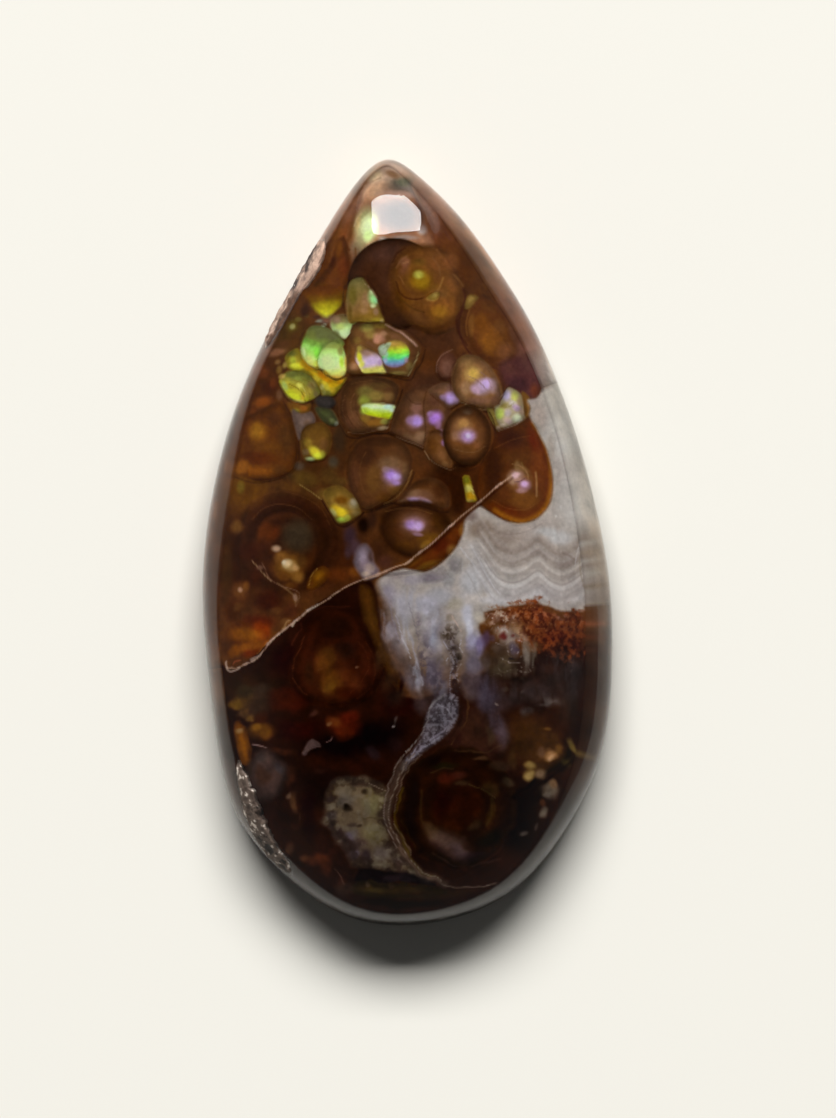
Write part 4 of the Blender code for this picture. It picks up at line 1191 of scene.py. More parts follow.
# The dark bubble under the crack, with an amber heart.
facet((300, 648, 308, 625, 322, 612, 345, 608, 358, 618, 368, 634, 378, 650, 382, 668, 376, 686, 362, 700,
        340, 706, 318, 704, 300, 694, 292, 676, 293, 660), (38, 14, 6), (
    (335, 625, 26, 16, 22, 9, 4, 0.95), (345, 650, 16, 16, 26, 12, 7), (330, 674, 26, 34, 56, 25, 9, 0.8),
    (350, 682, 22, 16, 62, 26, 10, 0.8), (327, 658, 15, 20, 76, 41, 12), (332, 684, 15, 20, 84, 48, 12),
    (330, 690, 9, 9, 92, 56, 16, 0.7), (310, 672, 8, 20, 34, 16, 7), (366, 668, 8, 22, 42, 15, 6, 0.8),
    (358, 668, 2, 2, 96, 60, 44), (345, 695, 24, 8, 38, 12, 4),
), fade=6)
strokes((
    (2.5, 64, 28, 16, 0.6, 306, 634, 298, 648, 294, 664, 296, 682, 306, 696),
    (2, 60, 26, 14, 0.5, 366, 640, 374, 656, 376, 672, 370, 688, 358, 698),
    (2, 56, 24, 12, 0.5, 358, 640, 366, 654, 368, 670, 362, 684, 350, 694),
    (2, 78, 44, 20, 0.5, 318, 670, 326, 664, 336, 660), (3, 54, 22, 14, 0.5, 302, 624, 296, 634, 292, 645),
    (2.5, 50, 22, 12, 0.5, 312, 612, 330, 606, 350, 606),
))
facet((360, 585, 372, 590, 376, 606, 378, 626, 384, 644, 392, 660, 400, 676, 398, 690, 390, 680, 380, 656,
        370, 634, 362, 612), (66, 36, 10), (
    (372, 620, 7, 18, 72, 42, 12), (382, 655, 8, 14, 60, 32, 8, 0.9, -20),
    (394, 680, 6, 12, 34, 14, 6, 0.9, -20),
), fade=6)

# Amber lumps by the left wall, rust in the dark, and small flesh-coloured flecks.
spots((
    (254, 702, 26, 20, 48, 34, 24, 0.7), (240, 702, 18, 10, 70, 46, 16, 0.7, 20),
    (234, 704, 10, 7, 86, 56, 14, 0.8, 20), (242, 712, 10, 6, 76, 50, 24, 0.8, 30),
    (250, 716, 8, 6, 98, 64, 24, 0.8, 20), (262, 730, 19, 13, 92, 52, 10, 0.85),
    (256, 726, 9, 7, 112, 68, 16, 0.7), (268, 733, 9, 8, 90, 50, 12, 0.8),
    (246, 690, 14, 10, 40, 32, 18, 0.7), (262, 688, 12, 10, 46, 34, 26, 0.6),
    (262, 716, 10, 8, 46, 18, 6, 0.8), (283, 700, 20, 16, 44, 14, 5, 0.8),
    (315, 715, 5, 5, 56, 30, 24, 0.9, -30), (345, 725, 26, 16, 54, 14, 5), (335, 722, 13, 8, 76, 34, 12),
    (352, 716, 14, 7, 62, 15, 6, 0.9, 15), (345, 731, 14, 7, 62, 20, 6, 0.8),
    (329, 725, 5, 3, 108, 70, 42, 0.6, 20), (345, 736, 12, 5, 40, 14, 6, 0.8),
    (284, 751, 16, 6, 50, 22, 10, 0.9, -6), (318, 771, 10, 5, 28, 14, 10, 0.8),
    (395, 745, 10, 12, 24, 12, 12, 0.7), (372, 752, 12, 8, 28, 18, 20, 0.8, -30),
    (394, 722, 2, 6, 60, 50, 48, 0.8, -20), (392, 727, 1.5, 1.5, 110, 100, 96),
    (355, 790, 20, 10, 40, 26, 10, 0.7), (305, 858, 8, 6, 84, 46, 24, 0.8), (316, 862, 14, 10, 66, 28, 12),
    (326, 866, 10, 12, 60, 24, 8, 0.8), (296, 803, 5, 14, 62, 38, 20, 0.85),
    (292, 795, 4, 5, 84, 60, 44, 0.8, 30), (289, 848, 6, 10, 60, 36, 22, 0.8),
    (340, 886, 8, 10, 40, 18, 10, 0.8), (287, 775, 10, 16, 46, 22, 12, 0.8),
))
facet((233, 726, 240, 723, 247, 728, 250, 740, 252, 755, 248, 764, 240, 762, 236, 750), (110, 56, 10), (
    (241, 745, 11, 18, 126, 66, 8, 0.95), (240, 729, 8, 4, 160, 112, 60), (250, 756, 4, 8, 62, 30, 8, 0.8),
), fade=4)
facet((303, 753, 306, 746, 312, 739, 317, 741, 321, 747, 313, 750, 306, 755), (88, 64, 60), (), fade=2)
strokes((
    (2.5, 130, 96, 90, 0.9, 254, 744, 262, 746, 268, 748),
    (2, 100, 72, 70, 0.8, 324, 744, 330, 740, 333, 736),
    (2.5, 70, 46, 36, 0.7, 336, 868, 341, 876, 344, 886), (2, 60, 36, 22, 0.6, 295, 795, 298, 808, 300, 820),
))
facet((258, 752, 268, 750, 280, 758, 288, 768, 284, 784, 280, 794, 268, 800, 256, 800, 250, 790, 248, 772,
        252, 760), (58, 41, 36), (
    (264, 760, 10, 8, 54, 42, 38), (280, 768, 8, 8, 46, 42, 46, 0.6), (270, 788, 12, 10, 66, 46, 40, 0.8),
    (262, 776, 10, 12, 48, 28, 18, 0.8), (250, 768, 4, 12, 54, 38, 28, 0.8),
), fade=9)

# The olive-grey patch with pits, left of the stream.
patch_line = (330, 790, 338, 780, 352, 777, 368, 778, 378, 784, 387, 791, 388, 806, 386, 822, 390, 838,
        398, 850, 408, 862, 418, 872, 428, 882, 410, 876, 396, 872, 378, 868, 362, 866, 352, 862, 348, 850,
        338, 842, 332, 830, 324, 822, 326, 812, 328, 800)
patch_heart = ease(depth_inside(np.array(px(*patch_line))) / mm(14))
patch = facet(patch_line, (84, 68, 50), (
    (350, 784, 16, 6, 84, 68, 50), (376, 802, 18, 20, 94, 84, 54), (374, 832, 16, 18, 92, 80, 52, 0.95),
    (390, 852, 14, 10, 84, 74, 62, 0.8, -30), (345, 800, 14, 10, 80, 70, 62),
    (334, 815, 9, 8, 50, 42, 40, 0.95), (340, 832, 10, 10, 40, 28, 27), (350, 846, 18, 18, 48, 38, 44, 0.8),
    (352, 836, 9, 7, 80, 70, 78), (346, 850, 8, 6, 34, 24, 26), (354, 855, 7, 7, 84, 72, 88, 0.95),
    (366, 858, 10, 10, 44, 32, 34), (382, 852, 14, 12, 88, 74, 66, 0.95),
    (400, 862, 12, 8, 62, 50, 46, 0.9, -20), (362, 845, 9, 7, 56, 42, 38, 0.8),
    (372, 792, 12, 6, 84, 70, 44, 0.8), (362, 820, 8, 8, 78, 64, 46, 0.8), (332, 790, 5, 8, 62, 48, 28, 0.8),
    (352, 826, 6, 5, 52, 40, 34, 0.8),
), fade=9)
pitted = cloud(0.55, 57, levels=4)
lay(ease(2.0 * patch * (1 - patch_heart)) * ease((0.62 - pitted) / 0.26), (34, 23, 19), 0.75)
lay(patch * ease((0.46 - pitted) / 0.12) * ease((4.8 - (seen[:, 0] + 8.2)) / 3), (34, 26, 26), 0.6)
lay(patch * ease((pitted - 0.54) / 0.12), (100, 88, 72), 0.4)
spots((
    (348, 807, 7, 5, 28, 20, 14, 1.0), (347, 805, 4, 3, 14, 8, 4), (366, 791, 5, 4, 34, 26, 18, 0.95),
    (354, 789, 4, 4, 56, 46, 34, 0.8), (358, 827, 4, 3, 40, 30, 22), (335, 822, 5, 4, 24, 18, 16, 0.8),
    (380, 815, 8, 2, 66, 54, 36, 0.8),
))
strokes((
    (1.8, 120, 100, 80, 0.7, 370, 784, 378, 788, 386, 792),
    (1.8, 60, 48, 30, 0.6, 362, 818, 372, 815, 384, 816),
))
facet((362, 868, 380, 870, 400, 873, 420, 876, 436, 884, 420, 884, 400, 880, 384, 884, 366, 884, 356, 880),
        (14, 7, 8), ((400, 877, 20, 7, 34, 22, 26), (375, 876, 14, 6, 10, 4, 6),), fade=4)
facet((352, 886, 366, 880, 384, 884, 400, 882, 420, 885, 440, 888, 450, 892, 430, 898, 400, 898, 370, 897,
        352, 894), (36, 24, 8), (
    (375, 890, 16, 6, 48, 36, 12, 0.95), (420, 892, 20, 5, 34, 20, 8), (366, 884, 4, 5, 70, 52, 36, 0.7),
    (391, 884, 3, 6, 56, 38, 24, 0.7),
), fade=4)
spots((
    (400, 904, 70, 8, 12, 7, 2), (450, 895, 30, 6, 32, 18, 6, 0.8, 12), (345, 890, 12, 10, 44, 30, 22, 0.6),
))

# The lower right: a ringed dark bubble, with flesh-coloured and grey depths.
bubble(456, 806, 60, 62, 0, (26, 11, 4), (22, 12, 4), 0.2, (
    (462, 806, 32, 34, 28, 10, 3), (440, 804, 14, 24, 24, 6, 2), (460, 776, 16, 6, 62, 26, 16, 0.95),
    (448, 778, 16, 8, 50, 16, 8), (464, 784, 12, 4, 44, 30, 18, 0.8),
    (490, 790, 10, 12, 42, 28, 12, 0.8, 30), (412, 800, 9, 34, 12, 5, 3, 0.95),
    (430, 760, 30, 8, 14, 6, 3, 0.95, 20), (445, 765, 20, 5, 20, 18, 6, 0.8),
    (490, 815, 6, 16, 44, 26, 6, 0.8, -10), (446, 846, 34, 14, 48, 28, 24, 0.8, -30),
    (450, 844, 34, 15, 50, 34, 28, 0.7, -30), (432, 832, 16, 9, 70, 52, 30, 0.6, -35),
    (446, 842, 26, 9, 74, 54, 46, 0.6, -30), (460, 851, 18, 7, 60, 44, 44, 0.8, -25),
    (480, 856, 26, 9, 34, 18, 20), (505, 850, 26, 12, 26, 12, 12), (460, 866, 34, 8, 34, 14, 8, 0.9, -6),
    (490, 838, 24, 10, 10, 8, 6, 0.95), (475, 826, 12, 6, 40, 28, 16, 0.7, 20),
), rings=3.2, ring_strength=0.1, fade=0.12)
strokes((
    (4.5, 44, 32, 14, 0.5, 420, 792, 419, 810, 423, 826), (4, 46, 34, 14, 0.5, 490, 800, 491, 814, 487, 826),
    (2.5, 56, 44, 24, 0.6, 470, 784, 484, 792, 494, 799),
    (6, 56, 42, 8, 0.8, 401, 788, 397, 810, 400, 834, 408, 852, 420, 868, 436, 878),
    (12, 13, 7, 7, 0.8, 413, 785, 410, 808, 412, 832, 420, 848),
    (9, 5, 3, 2, 0.9, 512, 797, 530, 785, 548, 772, 566, 757, 573, 748),
    (3, 46, 36, 24, 0.5, 430, 772, 442, 768, 454, 768), (2.5, 40, 28, 10, 0.5, 480, 786, 490, 798, 494, 812),
    (4, 44, 28, 20, 0.5, 430, 852, 448, 862, 470, 864, 500, 858),
    (3, 30, 18, 8, 0.6, 404, 790, 402, 810, 406, 830, 414, 848),
))
spots((
    (500, 700, 30, 16, 40, 30, 30, 0.8), (488, 694, 18, 26, 52, 42, 48, 0.8),
    (498, 728, 10, 30, 54, 42, 44, 0.8, 8), (488, 735, 6, 14, 50, 36, 24, 0.8),
    (470, 690, 10, 14, 62, 44, 30), (475, 724, 12, 20, 40, 22, 14), (478, 757, 12, 3, 56, 36, 22, 0.8),
    (500, 765, 16, 10, 44, 30, 20, 0.7), (505, 783, 10, 6, 44, 34, 22, 0.7),
    (512, 760, 6, 16, 40, 26, 12, 0.7), (545, 702, 14, 3, 62, 50, 44, 0.8, 10),
    (529, 710, 6, 6, 44, 36, 34, 0.8, -40), (545, 728, 7, 4, 88, 54, 20), (554, 740, 8, 12, 50, 28, 8, 0.8),
    (545, 748, 32, 28, 56, 32, 10, 0.6), (535, 770, 18, 12, 60, 40, 18, 0.7),
    (529, 766, 9, 6, 122, 92, 44, 1.0), (529, 776, 9, 7, 128, 98, 50, 1.0),
    (541, 774, 9, 8, 104, 78, 54, 0.95), (541, 751, 8, 6, 84, 54, 34),
    (552, 753, 10, 7, 150, 96, 54, 1.0, 15), (552, 755, 5, 4, 184, 124, 78), (559, 747, 8, 7, 84, 52, 20),
    (549, 792, 13, 14, 96, 80, 64, 0.95, 20), (553, 786, 7, 6, 126, 88, 56, 0.8),
    (546, 797, 6, 5, 110, 96, 82, 0.7), (540, 806, 5, 6, 70, 36, 16), (543, 815, 7, 8, 88, 74, 60, 0.95, 20),
    (524, 833, 7, 5, 62, 54, 48, 0.8), (538, 828, 3, 5, 46, 38, 32, 0.7), (498, 702, 2, 2, 130, 110, 100),
    (520, 679, 3, 2, 90, 70, 60), (523, 690, 3, 3, 60, 48, 44, 0.8), (506, 686, 5, 4, 56, 44, 34, 0.7),
    (570, 672, 2, 2, 80, 66, 60, 0.8), (575, 746, 5, 15, 92, 72, 30, 0.9, 20),
    (567, 762, 5, 10, 46, 38, 12, 0.7, 30), (548, 668, 8, 8, 40, 24, 18, 0.7),
))
strokes((
    (2.5, 60, 38, 20, 0.7, 468, 700, 468, 715, 462, 732, 452, 745),
    (3, 52, 34, 20, 0.5, 500, 745, 490, 750, 474, 752, 455, 750),
    (6, 12, 5, 2, 0.8, 572, 762, 556, 776, 536, 786, 515, 796),
))

# The white banded agate, which runs from the right wall to the middle and frays out into dark quartz below.
milky_line = np.array(px(527, 400, 537, 398, 545, 388, 551, 372, 556, 360, 640, 420, 640, 612, 590, 606,
        585, 611, 560, 611, 548, 606, 530, 604, 512, 606, 498, 609, 484, 613, 478, 628, 482, 645, 480, 662,
        478, 684, 468, 700, 458, 706, 440, 704, 424, 704, 412, 694, 402, 676, 393, 655, 385, 640, 379, 615,
        376, 590, 380, 578, 400, 569, 412, 570, 424, 572, 436, 567, 448, 557, 457, 546, 463, 532, 465, 520,
        478, 507, 487, 511, 502, 520, 518, 524, 533, 521, 544, 512, 551, 500, 553, 482, 551, 465, 547, 450,
        541, 438, 535, 427, 529, 417, 530, 408))
frayed = ease((-2.2 - seen[:, 1]) / 2.6) * ease((4.6 - seen[:, 0]) / 1.6)
milky = ease(depth_inside(milky_line, 4) / mm(4 + 20 * frayed) + 0.5 * (1 - frayed))
milky *= ease((seen[:, 1] + 11.8) / 6.0)
fine_grain = cloud(0.34, 51, levels=4)
upright_grain = cloud(0.42, 53, stretch=0.3, levels=4)
lay(milky, (158, 146, 136))
spots((
    (565, 430, 30, 50, 216, 212, 200, 0.95), (553, 395, 16, 30, 178, 170, 156),
    (540, 416, 12, 20, 164, 146, 134), (552, 446, 8, 24, 160, 146, 132),
    (570, 500, 26, 40, 176, 171, 162, 0.95), (590, 510, 14, 40, 172, 164, 154),
    (535, 530, 34, 18, 154, 140, 131, 0.95), (500, 540, 34, 20, 122, 107, 96, 0.95),
    (480, 530, 20, 16, 112, 94, 80, 0.95), (470, 516, 10, 8, 96, 80, 74),
    (560, 538, 22, 10, 178, 175, 172, 0.95), (545, 532, 16, 7, 172, 172, 170, 0.8),
    (540, 553, 22, 10, 124, 112, 105, 0.95), (520, 560, 24, 12, 140, 128, 118),
    (568, 562, 22, 12, 128, 114, 106), (572, 580, 26, 12, 142, 128, 124),
    (478, 550, 20, 16, 158, 150, 145, 0.95), (488, 574, 14, 24, 178, 176, 179, 0.95, 30),
    (512, 574, 24, 10, 160, 154, 147), (545, 592, 26, 10, 156, 144, 144), (515, 590, 26, 10, 172, 168, 166),
    (500, 600, 30, 7, 182, 178, 180), (590, 565, 8, 34, 140, 122, 100), (592, 595, 10, 16, 124, 106, 90),
    (562, 604, 26, 6, 156, 146, 140), (470, 582, 16, 20, 172, 170, 172, 0.95),
    (465, 602, 14, 14, 162, 156, 155, 0.95), (455, 565, 12, 14, 108, 103, 101, 0.95),
    (448, 580, 10, 12, 118, 114, 114), (430, 578, 20, 8, 106, 98, 104, 0.95),
    (412, 580, 14, 8, 140, 130, 138), (398, 576, 16, 5, 150, 134, 130, 0.9, 20),
    (440, 596, 20, 14, 150, 148, 154, 0.95), (388, 596, 12, 20, 128, 118, 130, 0.95),
    (402, 610, 12, 24, 150, 146, 156, 0.95, 10), (426, 606, 18, 16, 156, 154, 168, 0.95),
    (584, 545, 6, 20, 96, 84, 70, 0.6, 8), (600, 560, 12, 60, 140, 128, 112, 0.7),
    (600, 620, 12, 30, 120, 104, 92, 0.7),
), milky)
veils((
    (560, 440, 40, 60, 212, 208, 196, 0.5), (575, 500, 30, 50, 190, 184, 176, 0.4),
    (500, 590, 40, 20, 196, 194, 196, 0.5), (470, 575, 24, 30, 190, 190, 194, 0.5),
    (550, 535, 30, 12, 196, 196, 196, 0.5), (540, 420, 16, 26, 150, 130, 118, 0.5),
), upright_grain, within=milky)
veils((
    (560, 440, 40, 60, 148, 137, 126, 0.35), (480, 545, 30, 26, 96, 82, 72, 0.4),
    (440, 570, 30, 14, 84, 78, 80, 0.5), (500, 560, 60, 40, 128, 116, 110, 0.3),
    (585, 570, 14, 50, 110, 94, 76, 0.5),
), 1 - cloud(0.7, 55, levels=4), 0.46, 0.62, milky)
bands((462, 536, 474, 550, 484, 564, 496, 580, 510, 586, 524, 582, 537, 574, 548, 583, 560, 588, 574, 583,
        590, 572), (
    (-44, 150, 138, 130), (-37, 128, 114, 104), (-33, 112, 98, 88), (-30, 132, 120, 112),
    (-26, 150, 138, 130), (-23, 118, 105, 97), (-19, 126, 113, 104), (-16, 158, 148, 139),
    (-13.5, 186, 177, 168), (-11, 142, 129, 120), (-8, 136, 124, 116), (-5, 158, 148, 140),
    (-3, 132, 121, 115), (-1, 196, 190, 184), (1.5, 190, 184, 178), (4, 150, 140, 135), (7, 160, 152, 148),
    (10, 138, 128, 125), (13, 150, 141, 138), (17, 186, 181, 178), (20, 178, 173, 172), (23, 150, 142, 140),
    (27, 172, 168, 168), (31, 158, 152, 152),
), (472, 592), milky * ease((seen[:, 1] + 4.7) / 0.5), 0.75)
strokes((
    (4, 100, 86, 80, 0.6, 562, 553, 570, 556, 577, 560, 576, 565),
    (2.5, 190, 186, 182, 0.6, 586, 532, 582, 544, 578, 556, 576, 566),
    (4, 104, 90, 72, 0.5, 590, 530, 585, 546, 582, 560, 583, 576, 588, 590),
    (3, 190, 187, 190, 0.6, 460, 548, 474, 566, 484, 584, 492, 596),
    (2.5, 196, 194, 198, 0.6, 470, 545, 482, 566, 490, 582, 500, 594),
    (2.5, 138, 130, 126, 0.4, 474, 540, 488, 556, 500, 570, 512, 580),
    (2.5, 132, 124, 120, 0.4, 452, 556, 466, 572, 476, 590, 482, 602),
    (3, 106, 94, 88, 0.4, 490, 528, 506, 534, 524, 532, 540, 524),
    (2, 200, 194, 184, 0.5, 556, 420, 562, 450, 568, 480),
    (1.8, 120, 108, 96, 0.4, 566, 430, 573, 462, 578, 500),
), milky)
spots((
    (578, 458, 2, 2, 226, 216, 206, 0.8), (583, 484, 3, 2, 206, 196, 186, 0.8),
    (561, 507, 2, 2.5, 206, 200, 194, 0.8), (555, 516, 2, 2, 204, 200, 194, 0.7),
    (574, 452, 3, 1.5, 206, 196, 186, 0.7),
))

tones[:] = tones * (1 + 0.10 * milky * ease((seen[:, 1] + 6) / 3))[:, None]

# Under the white agate hang fraying veils, lilac and grey, with the dark showing through.
spots((
    (500, 662, 34, 30, 44, 34, 26, 0.95), (394, 640, 15, 46, 104, 94, 98, 0.8, 14),
    (412, 680, 13, 30, 90, 82, 90, 0.8, 16), (432, 632, 22, 38, 128, 124, 138, 0.85),
    (436, 680, 22, 28, 76, 68, 76, 0.85), (452, 652, 10, 40, 62, 52, 50, 0.8),
    (470, 662, 13, 40, 82, 71, 76, 0.85), (424, 704, 14, 14, 58, 46, 46, 0.7),
), None, 1.0)
veils((
    (388, 625, 11, 34, 134, 124, 132, 0.8, 12), (401, 630, 8, 44, 158, 153, 163, 0.9, 16),
    (416, 672, 8, 34, 162, 160, 174, 0.9, 16), (412, 600, 20, 22, 160, 158, 170, 0.8),
    (430, 616, 18, 20, 166, 166, 182, 0.8), (433, 640, 12, 18, 140, 142, 164, 0.8),
    (444, 656, 8, 12, 140, 136, 150, 0.8), (430, 668, 16, 20, 92, 86, 104, 0.7),
    (442, 688, 12, 18, 96, 92, 102, 0.8),
), upright_grain, 0.40, 0.60)
veils((
    (424, 656, 12, 36, 60, 52, 62, 0.7), (448, 634, 9, 16, 50, 41, 32, 1.0),
    (454, 642, 7, 30, 58, 48, 42, 0.7), (454, 656, 9, 12, 40, 32, 26, 1.0),
    (455, 680, 7, 30, 26, 16, 16, 1.0), (436, 680, 16, 22, 50, 43, 52, 0.7),
    (416, 622, 5, 20, 100, 90, 98, 0.7), (382, 650, 8, 30, 60, 36, 14, 0.8, 14),
), 1 - fine_grain, 0.42, 0.58)
spots((
    (468, 616, 8, 24, 190, 188, 202, 1.0), (468, 628, 4.5, 14, 212, 214, 232),
    (471, 640, 9, 14, 150, 146, 182), (478, 646, 8, 12, 112, 100, 142), (472, 662, 11, 16, 92, 84, 96),
    (484, 640, 7, 12, 72, 50, 68), (472, 686, 14, 20, 58, 46, 48, 0.95), (474, 664, 12, 12, 82, 72, 80, 0.7),
    (456, 604, 14, 10, 158, 146, 124, 0.8), (470, 600, 10, 8, 196, 182, 172),
    (478, 616, 8, 7, 200, 188, 170), (450, 618, 7, 5, 124, 110, 94, 0.8),
))
strokes((
    (2.2, 196, 160, 140, 0.8, 452, 616, 456, 624, 460, 632),
    (2, 176, 168, 172, 0.7, 460, 636, 458, 644, 462, 652),
    (2, 160, 154, 164, 0.7, 444, 640, 447, 652, 444, 660),
    (3, 150, 146, 158, 0.6, 398, 600, 404, 622, 411, 646, 418, 668, 424, 684),
    (2, 174, 170, 178, 0.6, 394, 616, 402, 640, 410, 660),
    (2, 120, 112, 124, 0.6, 388, 600, 392, 622, 400, 646),
    (2, 96, 88, 96, 0.5, 408, 604, 413, 628, 418, 650),
    (2, 150, 132, 124, 0.6, 459, 660, 457, 672, 460, 684),
    (1.8, 120, 112, 118, 0.7, 448, 656, 452, 668, 450, 684, 453, 698),
))

spots((
    (396, 698, 16, 14, 30, 18, 12, 0.95, -20), (390, 680, 10, 18, 44, 26, 14, 0.9, -20),
    (382, 656, 8, 24, 62, 38, 20, 0.7, -14),
), None, 1.0)

# The rusty plume and the lace of rings under it.
plume_line = (486, 614, 496, 610, 510, 606, 524, 604, 534, 600, 544, 605, 552, 611, 562, 615, 572, 609,
        584, 612, 588, 630, 586, 650, 574, 658, 556, 656, 544, 650, 530, 646, 516, 640, 504, 628, 492, 622)
crumbs = cloud(0.32, 23, levels=4)
plume_depth = depth_inside(np.array(px(*plume_line)))
plume = ease((plume_depth + 1.6 * (crumbs - 0.5)) / 0.70 + 0.4)
lay(plume, (74, 34, 16))
spots((
    (500, 616, 14, 8, 118, 72, 52), (520, 614, 16, 9, 112, 50, 20, 0.95), (515, 626, 12, 8, 112, 62, 30),
    (540, 616, 18, 10, 96, 42, 22, 0.95), (552, 636, 18, 12, 44, 12, 6, 0.95),
    (570, 622, 16, 12, 84, 38, 18, 0.95), (532, 634, 12, 10, 76, 34, 12), (572, 645, 16, 12, 44, 14, 8),
    (556, 652, 20, 8, 28, 10, 6), (486, 616, 7, 6, 110, 76, 64), (562, 616, 10, 5, 128, 84, 66, 0.8),
    (540, 648, 16, 8, 34, 14, 6),
), plume)
lay(plume * ease((crumbs - 0.50) / 0.14), (118, 50, 20), 0.6)
lay(plume * ease((cloud(0.2, 24, levels=3) - 0.56) / 0.10) * ease((seen[:, 1] + 7.4) / 2), (160, 92, 56), 0.4)
lay(plume * ease((0.47 - crumbs) / 0.12), (30, 8, 4), 0.6)
veils((
    (500, 620, 24, 10, 128, 92, 74, 0.7), (482, 618, 10, 8, 190, 172, 150, 0.7),
    (512, 628, 14, 8, 124, 92, 62, 0.7), (508, 640, 18, 16, 128, 112, 104), (500, 632, 12, 8, 170, 156, 146),
    (522, 652, 9, 26, 112, 100, 88, 0.95, 4), (532, 656, 6, 26, 96, 88, 74, 0.7),
    (500, 662, 20, 14, 70, 58, 42), (516, 672, 16, 8, 84, 72, 60, 0.8),
), upright_grain, 0.26, 0.56)
spots((
    (502, 638, 5, 5, 70, 22, 20, 0.95), (511, 637, 3, 3, 84, 40, 36), (512, 649, 7, 8, 66, 56, 64),
    (515, 649, 3, 4, 60, 48, 60, 0.8), (509, 657, 5, 2, 30, 24, 26), (495, 648, 7, 6, 72, 56, 46, 0.8),
    (491, 640, 6, 5, 66, 46, 54, 0.8), (500, 668, 18, 8, 56, 46, 32, 0.7),
    (484, 660, 7, 12, 70, 58, 54, 0.7), (520, 680, 12, 4, 20, 12, 8, 0.8),
))
strokes((
    (2, 168, 152, 146, 0.75, 488, 632, 492, 628, 497, 630, 500, 634, 505, 633, 508, 637, 506, 643, 503, 646),
    (1.8, 164, 146, 140, 0.85, 504, 646, 506, 653, 512, 657, 518, 654, 520, 647, 517, 641, 511, 641,
    506, 645),
    (1.6, 140, 126, 128, 0.8, 510, 650, 513, 645, 517, 648, 515, 653),
    (1.8, 150, 132, 124, 0.8, 494, 643, 499, 646, 503, 646),
    (1.8, 146, 128, 120, 0.8, 498, 656, 505, 659, 512, 662, 519, 660),
    (1.6, 120, 104, 96, 0.7, 508, 630, 512, 634, 516, 636, 519, 641),
    (1.6, 126, 114, 100, 0.6, 520, 640, 524, 652, 525, 664, 529, 673),
    (1.6, 108, 96, 82, 0.6, 526, 642, 530, 654, 531, 668),
    (1.6, 112, 98, 86, 0.7, 496, 666, 504, 671, 512, 668, 520, 671, 530, 674),
    (1.6, 84, 72, 56, 0.6, 488, 676, 498, 672, 506, 676),
    (1.6, 140, 124, 112, 0.6, 517, 664, 520, 668, 518, 672),
), 0.25 + 0.6 * ease((crumbs - 0.42) / 0.16))
veils(((500, 618, 26, 14, 202, 182, 156, 0.8), (520, 632, 16, 10, 172, 140, 104, 0.5),), crumbs, 0.50, 0.62)
veils((
    (560, 668, 34, 20, 44, 36, 36), (572, 690, 20, 30, 40, 32, 32), (530, 692, 34, 16, 40, 31, 30, 0.8),
    (548, 700, 22, 8, 70, 60, 56, 0.8, -20), (524, 712, 8, 10, 62, 54, 54, 0.8, -40),
    (488, 690, 18, 34, 60, 52, 62, 0.8, 4), (497, 726, 12, 30, 56, 45, 52, 0.8, 6),
    (510, 688, 20, 12, 44, 36, 34, 0.7), (566, 712, 16, 20, 34, 22, 16, 0.7),
), upright_grain, 0.25, 0.60)

# The grainy seam of quartz that narrows into the stream round the dark bubble.
seam = ease(depth_inside(np.array(px(434, 700, 446, 694, 456, 698, 458, 710, 455, 722, 448, 732, 440, 740,
        430, 747, 420, 754, 410, 762, 404, 770, 401, 766, 408, 756, 416, 747, 421, 738, 424, 726, 428, 712)),
        4) / mm(5) + 0.5)
lay(seam, (62, 56, 60), 0.9)
specks = cloud(0.22, 31, levels=3)
lay(seam * ease((specks - 0.44) / 0.2), (124, 118, 128), 0.6)
lay(seam * ease((0.44 - specks) / 0.16), (34, 28, 32), 0.5)
chain = trail(drawn(px(450, 640, 453, 656, 455, 672, 455, 688, 453, 704)), mm(13), 1.0)
lay(chain * ease((specks - 0.50) / 0.14), (140, 130, 140), 0.5)
lay(chain * ease((0.49 - specks) / 0.14), (34, 24, 24), 0.65)
strokes((
    (2.5, 104, 98, 96, 0.8, 446, 692, 434, 702, 428, 716, 425, 730, 418, 742, 406, 753),
    (2, 150, 142, 152, 0.6, 438, 702, 446, 706, 452, 714),
    (2.5, 132, 122, 138, 0.8, 446, 730, 436, 738, 424, 746, 412, 756),
    (2.5, 20, 12, 14, 0.8, 430, 742, 423, 747, 417, 752),
    (2.2, 140, 132, 150, 0.7, 440, 738, 430, 746, 420, 752, 410, 762),
    (2.5, 92, 80, 78, 0.6, 424, 754, 412, 762, 404, 772),
    (4, 26, 12, 8, 0.7, 462, 706, 460, 722, 452, 738, 440, 748, 426, 758),
))
spots(((459, 740, 6, 14, 30, 14, 10, 0.8, -20),))
stream = (415, 752, 404, 766, 396, 780, 390, 796, 389, 814, 392, 830, 398, 844, 406, 856, 418, 868, 430, 876,
        444, 883, 460, 886, 478, 885, 496, 882)
